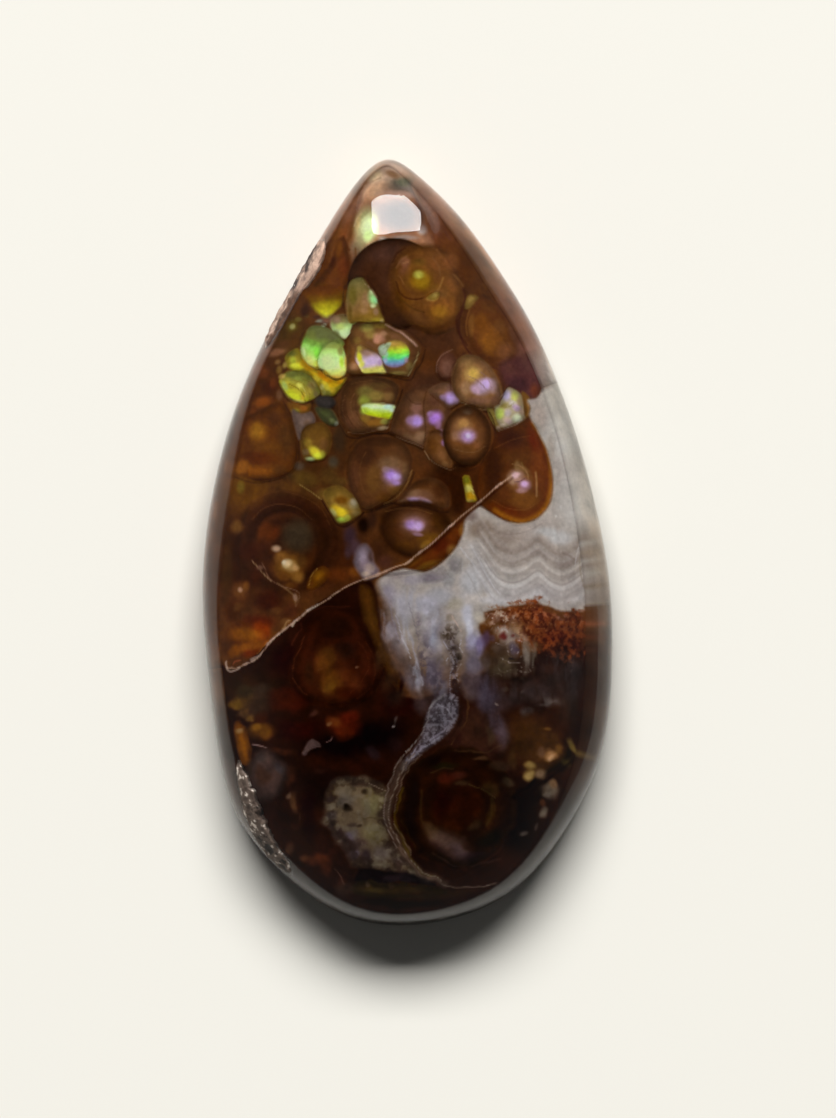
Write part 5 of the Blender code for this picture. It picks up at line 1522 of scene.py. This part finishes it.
strokes((
    (15, 78, 62, 50, 0.55, *stream[2:22]),
    (2.2, 98, 82, 72, 0.85, 410, 750, 399, 766, 390, 782, 385, 798, 385, 815, 389, 832, 396, 848),
    (2, 108, 90, 76, 0.85, 416, 754, 404, 768, 395, 784, 390, 800, 390, 816, 394, 832, 402, 848, 412, 860,
     424, 870, 440, 880),
    (2, 50, 36, 30, 0.7, 413, 752, 401, 768, 392, 784, 387, 800, 387, 816, 391, 834),
    (2.4, 84, 66, 52, 0.7, 420, 757, 408, 770, 399, 786, 395, 802, 396, 820, 402, 838, 412, 854),
    (5, 76, 58, 48, 0.7, 398, 846, 408, 860, 422, 872, 438, 881),
    (3.5, 70, 54, 44, 0.85, 430, 876, 444, 884, 460, 887, 478, 886, 498, 882),
    (2, 94, 78, 66, 0.6, 440, 883, 458, 887, 476, 885, 490, 884),
))

# The healed crack, a thin pale line, with a painted shadow just under it.
crack = px(226, 668, 236, 668, 245, 665, 257, 659, 265, 650, 271, 642, 281, 633, 291, 625, 297, 621,
        305, 614, 313, 608, 324, 602, 338, 592, 350, 585, 365, 579, 374, 576, 384, 572, 395, 567, 407, 563,
        415, 556, 430, 545, 444, 532, 460, 517, 475, 505, 485, 497, 495, 488, 500, 484, 507, 479, 511, 475)
crack_line = drawn(crack)
# A painted shadow: a dark band laid just below the crack and a little to its right.
lay(trail([(x + mm(1.5), y - mm(2.5)) for x, y in crack_line], mm(4), 1.0), (24, 8, 6), 0.4)
lay(trail(crack_line, mm(2.4), 1.0), (176, 132, 106), 0.85)
ragged = cloud(0.5, 41, levels=3)
lay(trail(crack_line, mm(4.5), 1.0) * ease((ragged - 0.54) / 0.12), (188, 146, 122), 0.7)
strokes((
    (3, 190, 160, 136, 0.8, 293, 626, 299, 621), (3.5, 196, 170, 150, 0.8, 308, 612, 318, 605),
    (3, 170, 120, 70, 0.7, 284, 628, 293, 621),
    (4, 190, 160, 140, 0.7, 222, 662, 226, 669, 232, 671, 240, 668),
    (4, 186, 150, 130, 0.7, 252, 662, 259, 657), (3, 150, 84, 30, 0.6, 256, 655, 266, 645, 270, 640),
    (5, 200, 150, 120, 0.6, 366, 579, 376, 575, 386, 571), (2.5, 170, 70, 40, 0.6, 232, 665, 244, 661),
))

# The agate's two blocks
# The layers under the skin make two closed blocks of opaque agate, the brown one and the white and dark
# one, which meet at the seam. A fine unevenness from their growth runs through the tones and the relief.
FINE_GRAIN = 0.22
BLOCK_BEVEL_RINGS = 4
BLOCK_WALL_RINGS = 12
COLOUR_ROUNDS = 12
LEAST_DEPTH = 0.16
ROOM_SLOPE = 0.7
LIGHT_TILT_INSIDE = math.radians(26.8)
tones *= (0.90 + 0.20 * cloud(FINE_GRAIN, 41, levels=2))[:, None]
tones *= (1 + (0.06 + 0.06 * deep) * uneven(0.9, 43, 3))[:, None]
tones += (deep * np.maximum(uneven(1.6, 45), 0))[:, None] * (3.0, 1.5, 0.5)
rise += 0.05 * (cloud(0.6, 42) - 0.5)
depth = FLOOR_DEPTH - rise
insets = soft_insets(plan)
room = LEAST_DEPTH + ROOM_SLOPE * np.maximum(insets - SKIN_AT_WALL, 0.0)
depth = np.minimum(depth, room)
top = np.column_stack([plan, polish - depth])
faces_out = np.cross(top[triangles[:, 1]] - top[triangles[:, 0]], top[triangles[:, 2]] - top[triangles[:, 0]])
normals = np.zeros_like(top)
for corner in range(3):
    np.add.at(normals, triangles[:, corner], faces_out)
normals /= np.linalg.norm(normals, axis=1)[:, None]

# How much light each place sends up: as plain agate, and as its shiny iron films.
KEY_INSIDE = np.array((0.0, math.sin(LIGHT_TILT_INSIDE), math.cos(LIGHT_TILT_INSIDE)))
SKY_SHARE = 0.45
PAPER_LIGHT = 1.27
PLAIN_GAIN = 0.38
PLAIN_RETURN = 0.60
FILM_GAIN = 0.56
FILM_SHARE = 0.15
SKIN_SHINE = 0.0012
FILM_ROUGHNESS = 0.5
lit = np.maximum(normals @ KEY_INSIDE, 0.12)
shade = np.clip((lit + SKY_SHARE * normals[:, 2]) / (KEY_INSIDE[2] + SKY_SHARE), 0.5, 1.3)
half_way = KEY_INSIDE + np.array((0.0, 0.0, 1.0))
half_way /= np.linalg.norm(half_way)


def film_spread(cosine):
    """How strongly the rough films send light on when their tilt is off by an angle."""
    return 1 / (cosine**2 * (FILM_ROUGHNESS**4 - 1) + 1) ** 2


film_gain = FILM_GAIN * np.clip(film_spread(normals @ half_way) / film_spread(half_way[2]), 0.3, 3.2)


def linear(tones_shown):
    """Tones as shown, 0 to 255, as amounts of light."""
    share = np.clip(tones_shown, 0, 255) / 255
    return np.where(share <= 0.04045, share / 12.92, ((share + 0.055) / 1.055) ** 2.4)


light = np.maximum(linear(tones) - SKIN_SHINE, 0.0003) / PAPER_LIGHT
bright = light.max(axis=1)
fire = np.where(inside_loop(seen, upper_loop), ease((bright - 0.10) / 0.25), 0.0) * FILM_SHARE
colour = light.copy()
for _ in range(COLOUR_ROUNDS):
    plain = PLAIN_GAIN * (shade * (1 - fire))[:, None] / (1 - PLAIN_RETURN * (1 - fire)[:, None] * colour)
    colour = 0.5 * colour + 0.5 * light / (plain + (film_gain * fire)[:, None])
    colour *= np.minimum(1.0, 0.98 / np.maximum(colour.max(axis=1), 1e-6))[:, None]

# The tones round the side: x, y, red, green, blue.
SIDE_TONES = (
    (330, 235, 122, 66, 30), (385, 163, 150, 110, 84), (430, 200, 120, 84, 62), (470, 240, 122, 78, 42),
    (520, 320, 96, 56, 34), (560, 400, 156, 151, 142), (600, 500, 140, 134, 124), (600, 560, 110, 96, 80),
    (602, 610, 84, 66, 50), (604, 650, 60, 42, 30), (606, 680, 40, 22, 10), (590, 790, 44, 26, 14),
    (520, 890, 36, 24, 16), (410, 919, 24, 16, 10), (290, 880, 44, 26, 16), (222, 770, 56, 32, 18),
    (208, 690, 104, 70, 46), (206, 620, 90, 44, 16), (212, 500, 96, 52, 20), (245, 400, 84, 46, 24),
    (290, 300, 100, 56, 30),
)
side_places = np.array(px(*[number for row in SIDE_TONES for number in row[:2]]))
side_light = linear(np.array([row[2:] for row in SIDE_TONES])) / PAPER_LIGHT
nearness = 1 / (np.linalg.norm(seen[:edge_count][:, None] - side_places[None], axis=2) ** 3 + 0.1)
side_light = (nearness @ side_light) / nearness.sum(axis=1)[:, None]
side_colour = np.clip(side_light / (0.30 + 0.5 * side_light), 0.0, 0.9)


def noise_in_the_round(places, size, seed):
    """Soft noise from 0 to 1 over places in the round."""
    rng = np.random.default_rng(seed)
    total, weight, share = np.zeros(len(places)), 0.0, 1.0
    for _ in range(4):
        lattice = rng.random((32, 32, 32))
        at = places / size + 400.3
        low = np.floor(at).astype(int)
        part = ease(at - low)
        value = np.zeros(len(places))
        for corner in range(8):
            step = np.array((corner & 1, corner >> 1 & 1, corner >> 2))
            near = np.where(step, part, 1 - part).prod(axis=1)
            i, j, k = ((low + step) % 32).T
            value += near * lattice[i, j, k]
        total += value * share
        weight += share
        share *= 0.62
        size /= 2.1
    return total / weight


side = side_rings(edge_line, edge_inward, edge_lean, BLOCK_BEVEL_RINGS, BLOCK_WALL_RINGS, SKIN_AT_WALL)[::-1]
side_levels = len(side)
side_mottled = []
for ring in side:
    lumps = noise_in_the_round(ring * (1, 1, 1.6), 3.2, 91)
    streaks = noise_in_the_round(ring * (1, 1, 4.0), 1.6, 92)
    amount = 0.45 + 1.1 * ease((lumps - 0.3) / 0.4) * (0.7 + 0.6 * streaks)
    warmth = np.stack([amount * 0 + 1, 1 - 0.12 * streaks, 1 - 0.25 * streaks], axis=1)
    side_mottled.append(np.clip(side_colour * amount[:, None] * warmth, 0.0, 0.9))
upper_half = inside_loop(seen[triangles].mean(axis=1), upper_loop)


def painted_piece(name, places, faces, colours):
    """A piece of the stone from places in millimetres, with a linear colour laid on at each of them."""
    mesh = bpy.data.meshes.new(name)
    mesh.from_pydata((places * MM).tolist(), [], faces)
    mesh.shade_smooth()
    painted = mesh.color_attributes.new("tones", "FLOAT_COLOR", "POINT")
    painted.data.foreach_set("color", np.column_stack([colours, np.ones(len(colours))]).ravel())
    piece = bpy.data.objects.new(name, mesh)
    bpy.context.scene.collection.objects.link(piece)
    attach(piece, "root")
    return piece


def agate_block(name, own):
    """A closed block of agate: its share of the layered top, its sides and a flat base."""
    edges = np.concatenate([own[:, (0, 1)], own[:, (1, 2)], own[:, (2, 0)]])
    seen_pairs = set(map(tuple, edges.tolist()))
    border = {i: j for i, j in seen_pairs if (j, i) not in seen_pairs}
    loop = [next(iter(border))]
    while border[loop[-1]] != loop[0]:
        loop.append(border[loop[-1]])
    used, compact = np.unique(own, return_inverse=True)
    own = compact.reshape(own.shape)
    places, colours, fires = [top[used]], [colour[used]], [fire[used]]
    index_of = {old: new for new, old in enumerate(used.tolist())}
    above = [index_of[i] for i in loop]
    faces = own.tolist()
    start = len(used)
    base_height = side[-1][0, 2]
    for level in range(side_levels):
        row, row_colours = [], []
        share = (level + 1) / side_levels
        for i in loop:
            if i < edge_count:
                row.append(side[level][i])
                from_top = (1 - share) ** 3
                row_colours.append(colour[i] * from_top + side_mottled[level][i] * (1 - from_top))
            else:
                row.append(np.array((plan[i, 0], plan[i, 1], top[i, 2] * (1 - share) + base_height * share)))
                row_colours.append(colour[i] * 0.7)
        places.append(np.array(row))
        colours.append(np.array(row_colours))
        fires.append(fire[loop] * 0)
        below = list(range(start, start + len(loop)))
        start += len(loop)
        for k in range(len(loop)):
            after = (k + 1) % len(loop)
            faces.append([below[k], below[after], above[after], above[k]])
        above = below
    base = tessellate_polygon([[Vector((plan_x, plan_y, 0.0)) for plan_x, plan_y, _ in places[-1]]])
    for triangle in base:
        a, b, c = (places[-1][k][:2] for k in triangle)
        turn = (b[0] - a[0]) * (c[1] - a[1]) - (b[1] - a[1]) * (c[0] - a[0])
        faces.append([above[k] for k in (triangle if turn < 0 else triangle[::-1])])
    block = painted_piece(name, np.concatenate(places), faces, np.concatenate(colours))
    glint = block.data.attributes.new("fire", "FLOAT", "POINT")
    glint.data.foreach_set("value", np.concatenate(fires))
    return block


def grained_material(name, scale, detail, shades, roughness, bump_strength, bump_distance, specular):
    """A material with the tones laid on its mesh, and one fine grain in its shades, roughness and bumps."""
    material = bpy.data.materials.new(name)
    material.use_nodes = True
    nodes, links = material.node_tree.nodes, material.node_tree.links
    shader = nodes["Principled BSDF"]
    place = nodes.new("ShaderNodeTexCoord")
    fine = nodes.new("ShaderNodeTexNoise")
    fine.inputs["Scale"].default_value = scale
    fine.inputs["Detail"].default_value = detail
    links.new(place.outputs["Object"], fine.inputs["Vector"])
    laid_on = nodes.new("ShaderNodeAttribute")
    laid_on.attribute_name = "tones"
    ranges = []
    for lowest, highest in (shades, roughness):
        spread = nodes.new("ShaderNodeMapRange")
        spread.inputs["To Min"].default_value = lowest
        spread.inputs["To Max"].default_value = highest
        links.new(fine.outputs["Fac"], spread.inputs["Value"])
        ranges.append(spread)
    shaded = nodes.new("ShaderNodeVectorMath")
    shaded.operation = "SCALE"
    links.new(laid_on.outputs["Color"], shaded.inputs[0])
    links.new(ranges[0].outputs["Result"], shaded.inputs["Scale"])
    links.new(shaded.outputs["Vector"], shader.inputs["Base Color"])
    links.new(ranges[1].outputs["Result"], shader.inputs["Roughness"])
    bumps = nodes.new("ShaderNodeBump")
    bumps.inputs["Strength"].default_value = bump_strength
    bumps.inputs["Distance"].default_value = bump_distance
    links.new(fine.outputs["Fac"], bumps.inputs["Height"])
    links.new(bumps.outputs["Normal"], shader.inputs["Normal"])
    shader.inputs["Specular IOR Level"].default_value = specular
    return material


satin = (FILM_ROUGHNESS - 0.06, FILM_ROUGHNESS + 0.06)
agate = grained_material("layered_agate", 4200.0, 3.0, (0.84, 1.14), satin, 0.25, 0.00003, 0.0)
nodes, links = agate.node_tree.nodes, agate.node_tree.links
films = nodes.new("ShaderNodeAttribute")
films.attribute_name = "fire"
links.new(films.outputs["Fac"], nodes["Principled BSDF"].inputs["Metallic"])
for name, own in (("brown_agate", upper_half), ("white_and_dark_agate", ~upper_half)):
    agate_block(name, triangles[own]).data.materials.append(agate)

# The rough skin
# Two patches of the wall keep the rough, pale skin that the stone had in the ground, never cut or polished.
# Each is a thin lumpy plate on the wall and the shoulder, sunk into the polish at its edges.
CRUST_STEPS = 60
CRUST_ROWS = 26
CRUST_START = 0.12
CRUST_FOOT = 0.30
CRUST_WALL_STEPS = 40
CRUST_DOME_STEPS = 30
CRUST_ON_DOME = (0.03, 1.2)
CRUST_EDGE = 0.14
CRUST_END = 0.05


def crust_grid(start, end, widths, seed):
    """A patch's places on the polish, station by station along the girdle and row by row up the wall."""
    line, inward, lean = girdle_line(CRUST_STEPS)
    first = int(np.argmin(np.linalg.norm(line - start, axis=1)))
    last = int(np.argmin(np.linalg.norm(line - end, axis=1)))
    count = (last - first) % len(line) + 1
    stations = (first + np.arange(count)) % len(line)
    shares = np.linspace(0.0, 1.0, count)
    shares_given, feet, reaches = zip(*widths)
    ragged = 0.85 + 0.3 * noise_in_the_round(np.column_stack([shares * 9, shares * 0, shares * 0]), 0.4, seed)
    worn = noise_in_the_round(np.column_stack([shares * 9, shares * 0, shares * 0]), 2.2, seed + 5)
    feet = np.interp(shares, shares_given, feet) * ragged[::-1] + 0.05 * ease((worn - 0.25) / 0.5)
    reaches = np.interp(shares, shares_given, reaches) * ragged
    grid = np.empty((count, CRUST_ROWS, 3))
    for row, (i, foot, reach) in enumerate(zip(stations, feet, reaches)):
        up = np.linspace(CRUST_START, 1.0, CRUST_WALL_STEPS)
        on_dome = lean[i] + np.linspace(*CRUST_ON_DOME, CRUST_DOME_STEPS)
        inset = np.concatenate([lean[i] * up**WALL_ROUNDING, on_dome])
        plan = line[i] + inward[i] * inset[:, None]
        height = tip_roll(GIRDLE_HEIGHT + (SHOULDER_HEIGHT - GIRDLE_HEIGHT) * up, plan[:CRUST_WALL_STEPS, 1])
        height = np.concatenate([height, polish_height(plan[CRUST_WALL_STEPS:])])
        path = np.column_stack([plan, height])
        run = np.concatenate([[0.0], np.linalg.norm(np.diff(path, axis=0), axis=1).cumsum()])
        at = np.linspace(np.interp(foot, inset, run), np.interp(reach, inset, run), CRUST_ROWS)
        grid[row] = np.column_stack([np.interp(at, run, path[:, axis]) for axis in range(3)])
    return grid, shares


def crust_plate(name, start, end, widths, seed, paint):
    """A closed, lumpy plate of rough skin on the wall, with tones for its places."""
    grid, shares = crust_grid(np.array(start), np.array(end), widths, seed)
    along, across = np.gradient(grid, axis=0), np.gradient(grid, axis=1)
    out = np.cross(across, along)
    out /= np.linalg.norm(out, axis=2)[..., None]
    if out[len(out) // 2, CRUST_ROWS // 2, 2] < 0:
        out = -out
    flat = grid.reshape(-1, 3)
    coarse = noise_in_the_round(flat, 0.9, seed + 1).reshape(grid.shape[:2])
    fine = noise_in_the_round(flat, 0.32, seed + 2).reshape(grid.shape[:2])
    side = np.linspace(0.0, 1.0, CRUST_ROWS)[None, :]
    ends = ease(np.minimum(shares, 1 - shares) / CRUST_END)[:, None]
    edge = np.minimum(ease((1 - side) / CRUST_EDGE), ends)
    edge = np.minimum(edge, ease(side / CRUST_EDGE))
    lumps = 0.02 + 0.16 * np.clip(1.6 * (coarse - 0.25), 0, 1) + 0.11 * (fine - 0.5)
    proud = np.clip(lumps, -0.02, 0.17) * edge - 0.05 * (1 - edge)
    outer = grid + out * proud[..., None]
    inner = grid - out * CRUST_FOOT
    tone = paint(shares[:, None] + 0 * side, side + 0 * shares[:, None], coarse, fine)
    stations = list(range(len(grid)))
    index = np.arange(grid.shape[0] * CRUST_ROWS).reshape(grid.shape[:2])
    under = index + index.size
    faces = []
    for i in stations[:-1]:
        for j in range(CRUST_ROWS - 1):
            faces.append((index[i, j], index[i + 1, j], index[i + 1, j + 1], index[i, j + 1]))
            faces.append((under[i, j + 1], under[i + 1, j + 1], under[i + 1, j], under[i, j]))
    border = [(i, 0) for i in stations] + [(stations[-1], j) for j in range(1, CRUST_ROWS)]
    border += [(i, CRUST_ROWS - 1) for i in stations[-2::-1]] + [(0, j) for j in range(CRUST_ROWS - 2, 0, -1)]
    for a, b in zip(border, border[1:] + border[:1]):
        faces.append((index[b], index[a], under[a], under[b]))
    places = np.concatenate([outer.reshape(-1, 3), inner.reshape(-1, 3)])
    a, b, c, d = (places[[face[k] for face in faces]] for k in range(4))
    volume = (a * (np.cross(b, c) + np.cross(c, d))).sum()
    if volume < 0:
        faces = [f[::-1] for f in faces]
    faces = [tuple(int(k) for k in face) for face in faces]
    return painted_piece(name, places, faces, linear(np.concatenate([tone.reshape(-1, 3)] * 2)))


def mixed(first, second, share):
    """A tone between two, by a share for each place."""
    share = np.clip(share, 0, 1)[..., None]
    return np.array(first, dtype=float) * (1 - share) + np.array(second, dtype=float) * share


def upper_tone(along, side, coarse, fine):
    """Pinkish tan with dark pits towards the tip, and cream with a grey-mauve inner strip further down."""
    tone = mixed((104, 84, 74), (196, 164, 144), 2.4 * (fine - 0.28))
    tone += (mixed((84, 70, 62), (140, 122, 110), fine) - tone) * (ease((0.34 - side) / 0.2))[..., None]
    top_edge_share = 0.8 * ease((side - 0.82) / 0.08)
    tone += (mixed((170, 136, 116), (214, 180, 158), fine) - tone) * top_edge_share[..., None]
    low = ease((along - 0.47) / 0.10)
    strip = mixed((112, 88, 76), (206, 176, 156), 2.4 * (fine - 0.25))
    deeper = ease((side + coarse - 1.02) / 0.16)[..., None]
    strip += (mixed((50, 32, 24), (112, 80, 62), 2.0 * (fine - 0.25)) - strip) * deeper
    tone += (strip - tone) * low[..., None]
    pits = ease((0.47 - coarse) / 0.05) * (1 - low) * ease((0.75 - side) / 0.2)
    return tone + (mixed((40, 28, 26), (72, 54, 48), fine) - tone) * pits[..., None]


def lower_tone(along, side, coarse, fine):
    """Grey-brown with bright crystal faces and dark gaps."""
    tone = mixed((66, 52, 44), (128, 112, 100), 2.0 * (fine - 0.25))
    tone += (np.array((216, 202, 188)) - tone) * ease((fine - 0.60) / 0.06)[..., None]
    gaps = ease((0.43 - coarse) / 0.05) * ease((side - 0.2) / 0.2)
    return tone + (np.array((30, 20, 14)) - tone) * gaps[..., None]


crusts = [crust_plate("upper_rough_skin", px(319, 237), px(264, 348), (
    (0.0, 0.28, 0.34), (0.04, 0.10, 0.58), (0.10, 0.02, 0.90), (0.17, 0.0, 1.10), (0.28, 0.0, 1.16),
    (0.40, 0.0, 1.06), (0.50, 0.0, 0.86), (0.56, 0.0, 0.84), (0.72, 0.01, 0.86), (0.86, 0.03, 0.76),
    (0.95, 0.12, 0.62), (1.0, 0.34, 0.44),
), 61, upper_tone), crust_plate("lower_rough_skin", px(225, 762), px(284, 884), (
    (0.0, 1.36, 1.46), (0.12, 0.95, 1.80), (0.25, 0.80, 1.90), (0.45, 0.50, 1.90), (0.62, 0.20, 1.60),
    (0.80, 0.10, 1.25), (0.93, 0.20, 0.95), (1.0, 0.42, 0.56),
), 71, lower_tone),]
bark = grained_material("rough_skin", 9000.0, 4.0, (0.6, 1.35), (0.5, 0.8), 0.6, 0.00006, 0.3)
for plate in crusts:
    plate.data.materials.append(bark)

# The paper
# The stone lies on a wide sheet of smooth, matt paper that is a little warmer than white.
# It lies just under the base, so that the two don't share a surface.
PAPER_REACH = 2
PAPER_DROP = 0.0001
corners = [(x * PAPER_REACH, y * PAPER_REACH, -PAPER_DROP) for x, y in ((-1, -1), (1, -1), (1, 1), (-1, 1))]
floor_mesh = bpy.data.meshes.new("paper")
floor_mesh.from_pydata(corners, [], [(0, 1, 2, 3)])
floor = bpy.data.objects.new("paper", floor_mesh)
bpy.context.scene.collection.objects.link(floor)
paper = bpy.data.materials.new("pale_paper")
paper.use_nodes = True
shader = paper.node_tree.nodes["Principled BSDF"]
shader.inputs["Base Color"].default_value = (0.768, 0.748, 0.682, 1.0)
shader.inputs["Roughness"].default_value = 0.9
shader.inputs["Specular IOR Level"].default_value = 0.0
floor_mesh.materials.append(paper)

# The light
# One wide softbox hangs beyond the tip, and shows as the bright patch in the polish there.
# Painted reflection on the agate under the patch's rims softens and widens it.
# The rest is a dim room that is lighter near the floor and nearly dark overhead.
KEY_DISTANCE = 3.0
KEY_ELEVATION = math.radians(46.1)
key_data = bpy.data.lights.new("softbox", "AREA")
key_data.shape = "RECTANGLE"
key_data.size = 2.5
key_data.size_y = 1.12
key_data.energy = 162.0
key = bpy.data.objects.new("softbox", key_data)
key.location = (0.0, KEY_DISTANCE * math.cos(KEY_ELEVATION), KEY_DISTANCE * math.sin(KEY_ELEVATION))
key.rotation_euler = (KEY_ELEVATION - math.pi / 2, 0.0, 0.0)
bpy.context.scene.collection.objects.link(key)

world = bpy.data.worlds.new("studio")
world.use_nodes = True
nodes, links = world.node_tree.nodes, world.node_tree.links
background = nodes["Background"]
direction = nodes.new("ShaderNodeTexCoord")
apart = nodes.new("ShaderNodeSeparateXYZ")
links.new(direction.outputs["Generated"], apart.inputs[0])
sky = nodes.new("ShaderNodeValToRGB")
sky.color_ramp.elements[0].position = 0.0
sky.color_ramp.elements[0].color = (0.26, 0.26, 0.26, 1.0)
sky.color_ramp.elements[1].position = 0.75
sky.color_ramp.elements[1].color = (0.008, 0.008, 0.008, 1.0)
links.new(apart.outputs["Z"], sky.inputs[0])
links.new(sky.outputs["Color"], background.inputs["Color"])
background.inputs["Strength"].default_value = 1.0
bpy.context.scene.world = world

# The camera
# It looks straight down on the stone from far above. For a picture of 836 by 1118 pixels, the lens
# gives it the photo's scale on the girdle's level.
PHOTO_HEIGHT = 1118
SENSOR_SIZE = 36.0
camera_data = bpy.data.cameras.new("camera")
camera_data.lens = SENSOR_SIZE * SEEN_HEIGHT / (PHOTO_HEIGHT * MM_PER_PIXEL)
camera_data.sensor_width = SENSOR_SIZE
camera_data.clip_end = 10.0
camera = bpy.data.objects.new("camera", camera_data)
camera.location = (SEEN_FROM[0] * MM, SEEN_FROM[1] * MM, (SEEN_HEIGHT + GIRDLE_HEIGHT) * MM)
bpy.context.scene.collection.objects.link(camera)
bpy.context.scene.camera = camera
bpy.context.scene.view_settings.view_transform = "Standard"
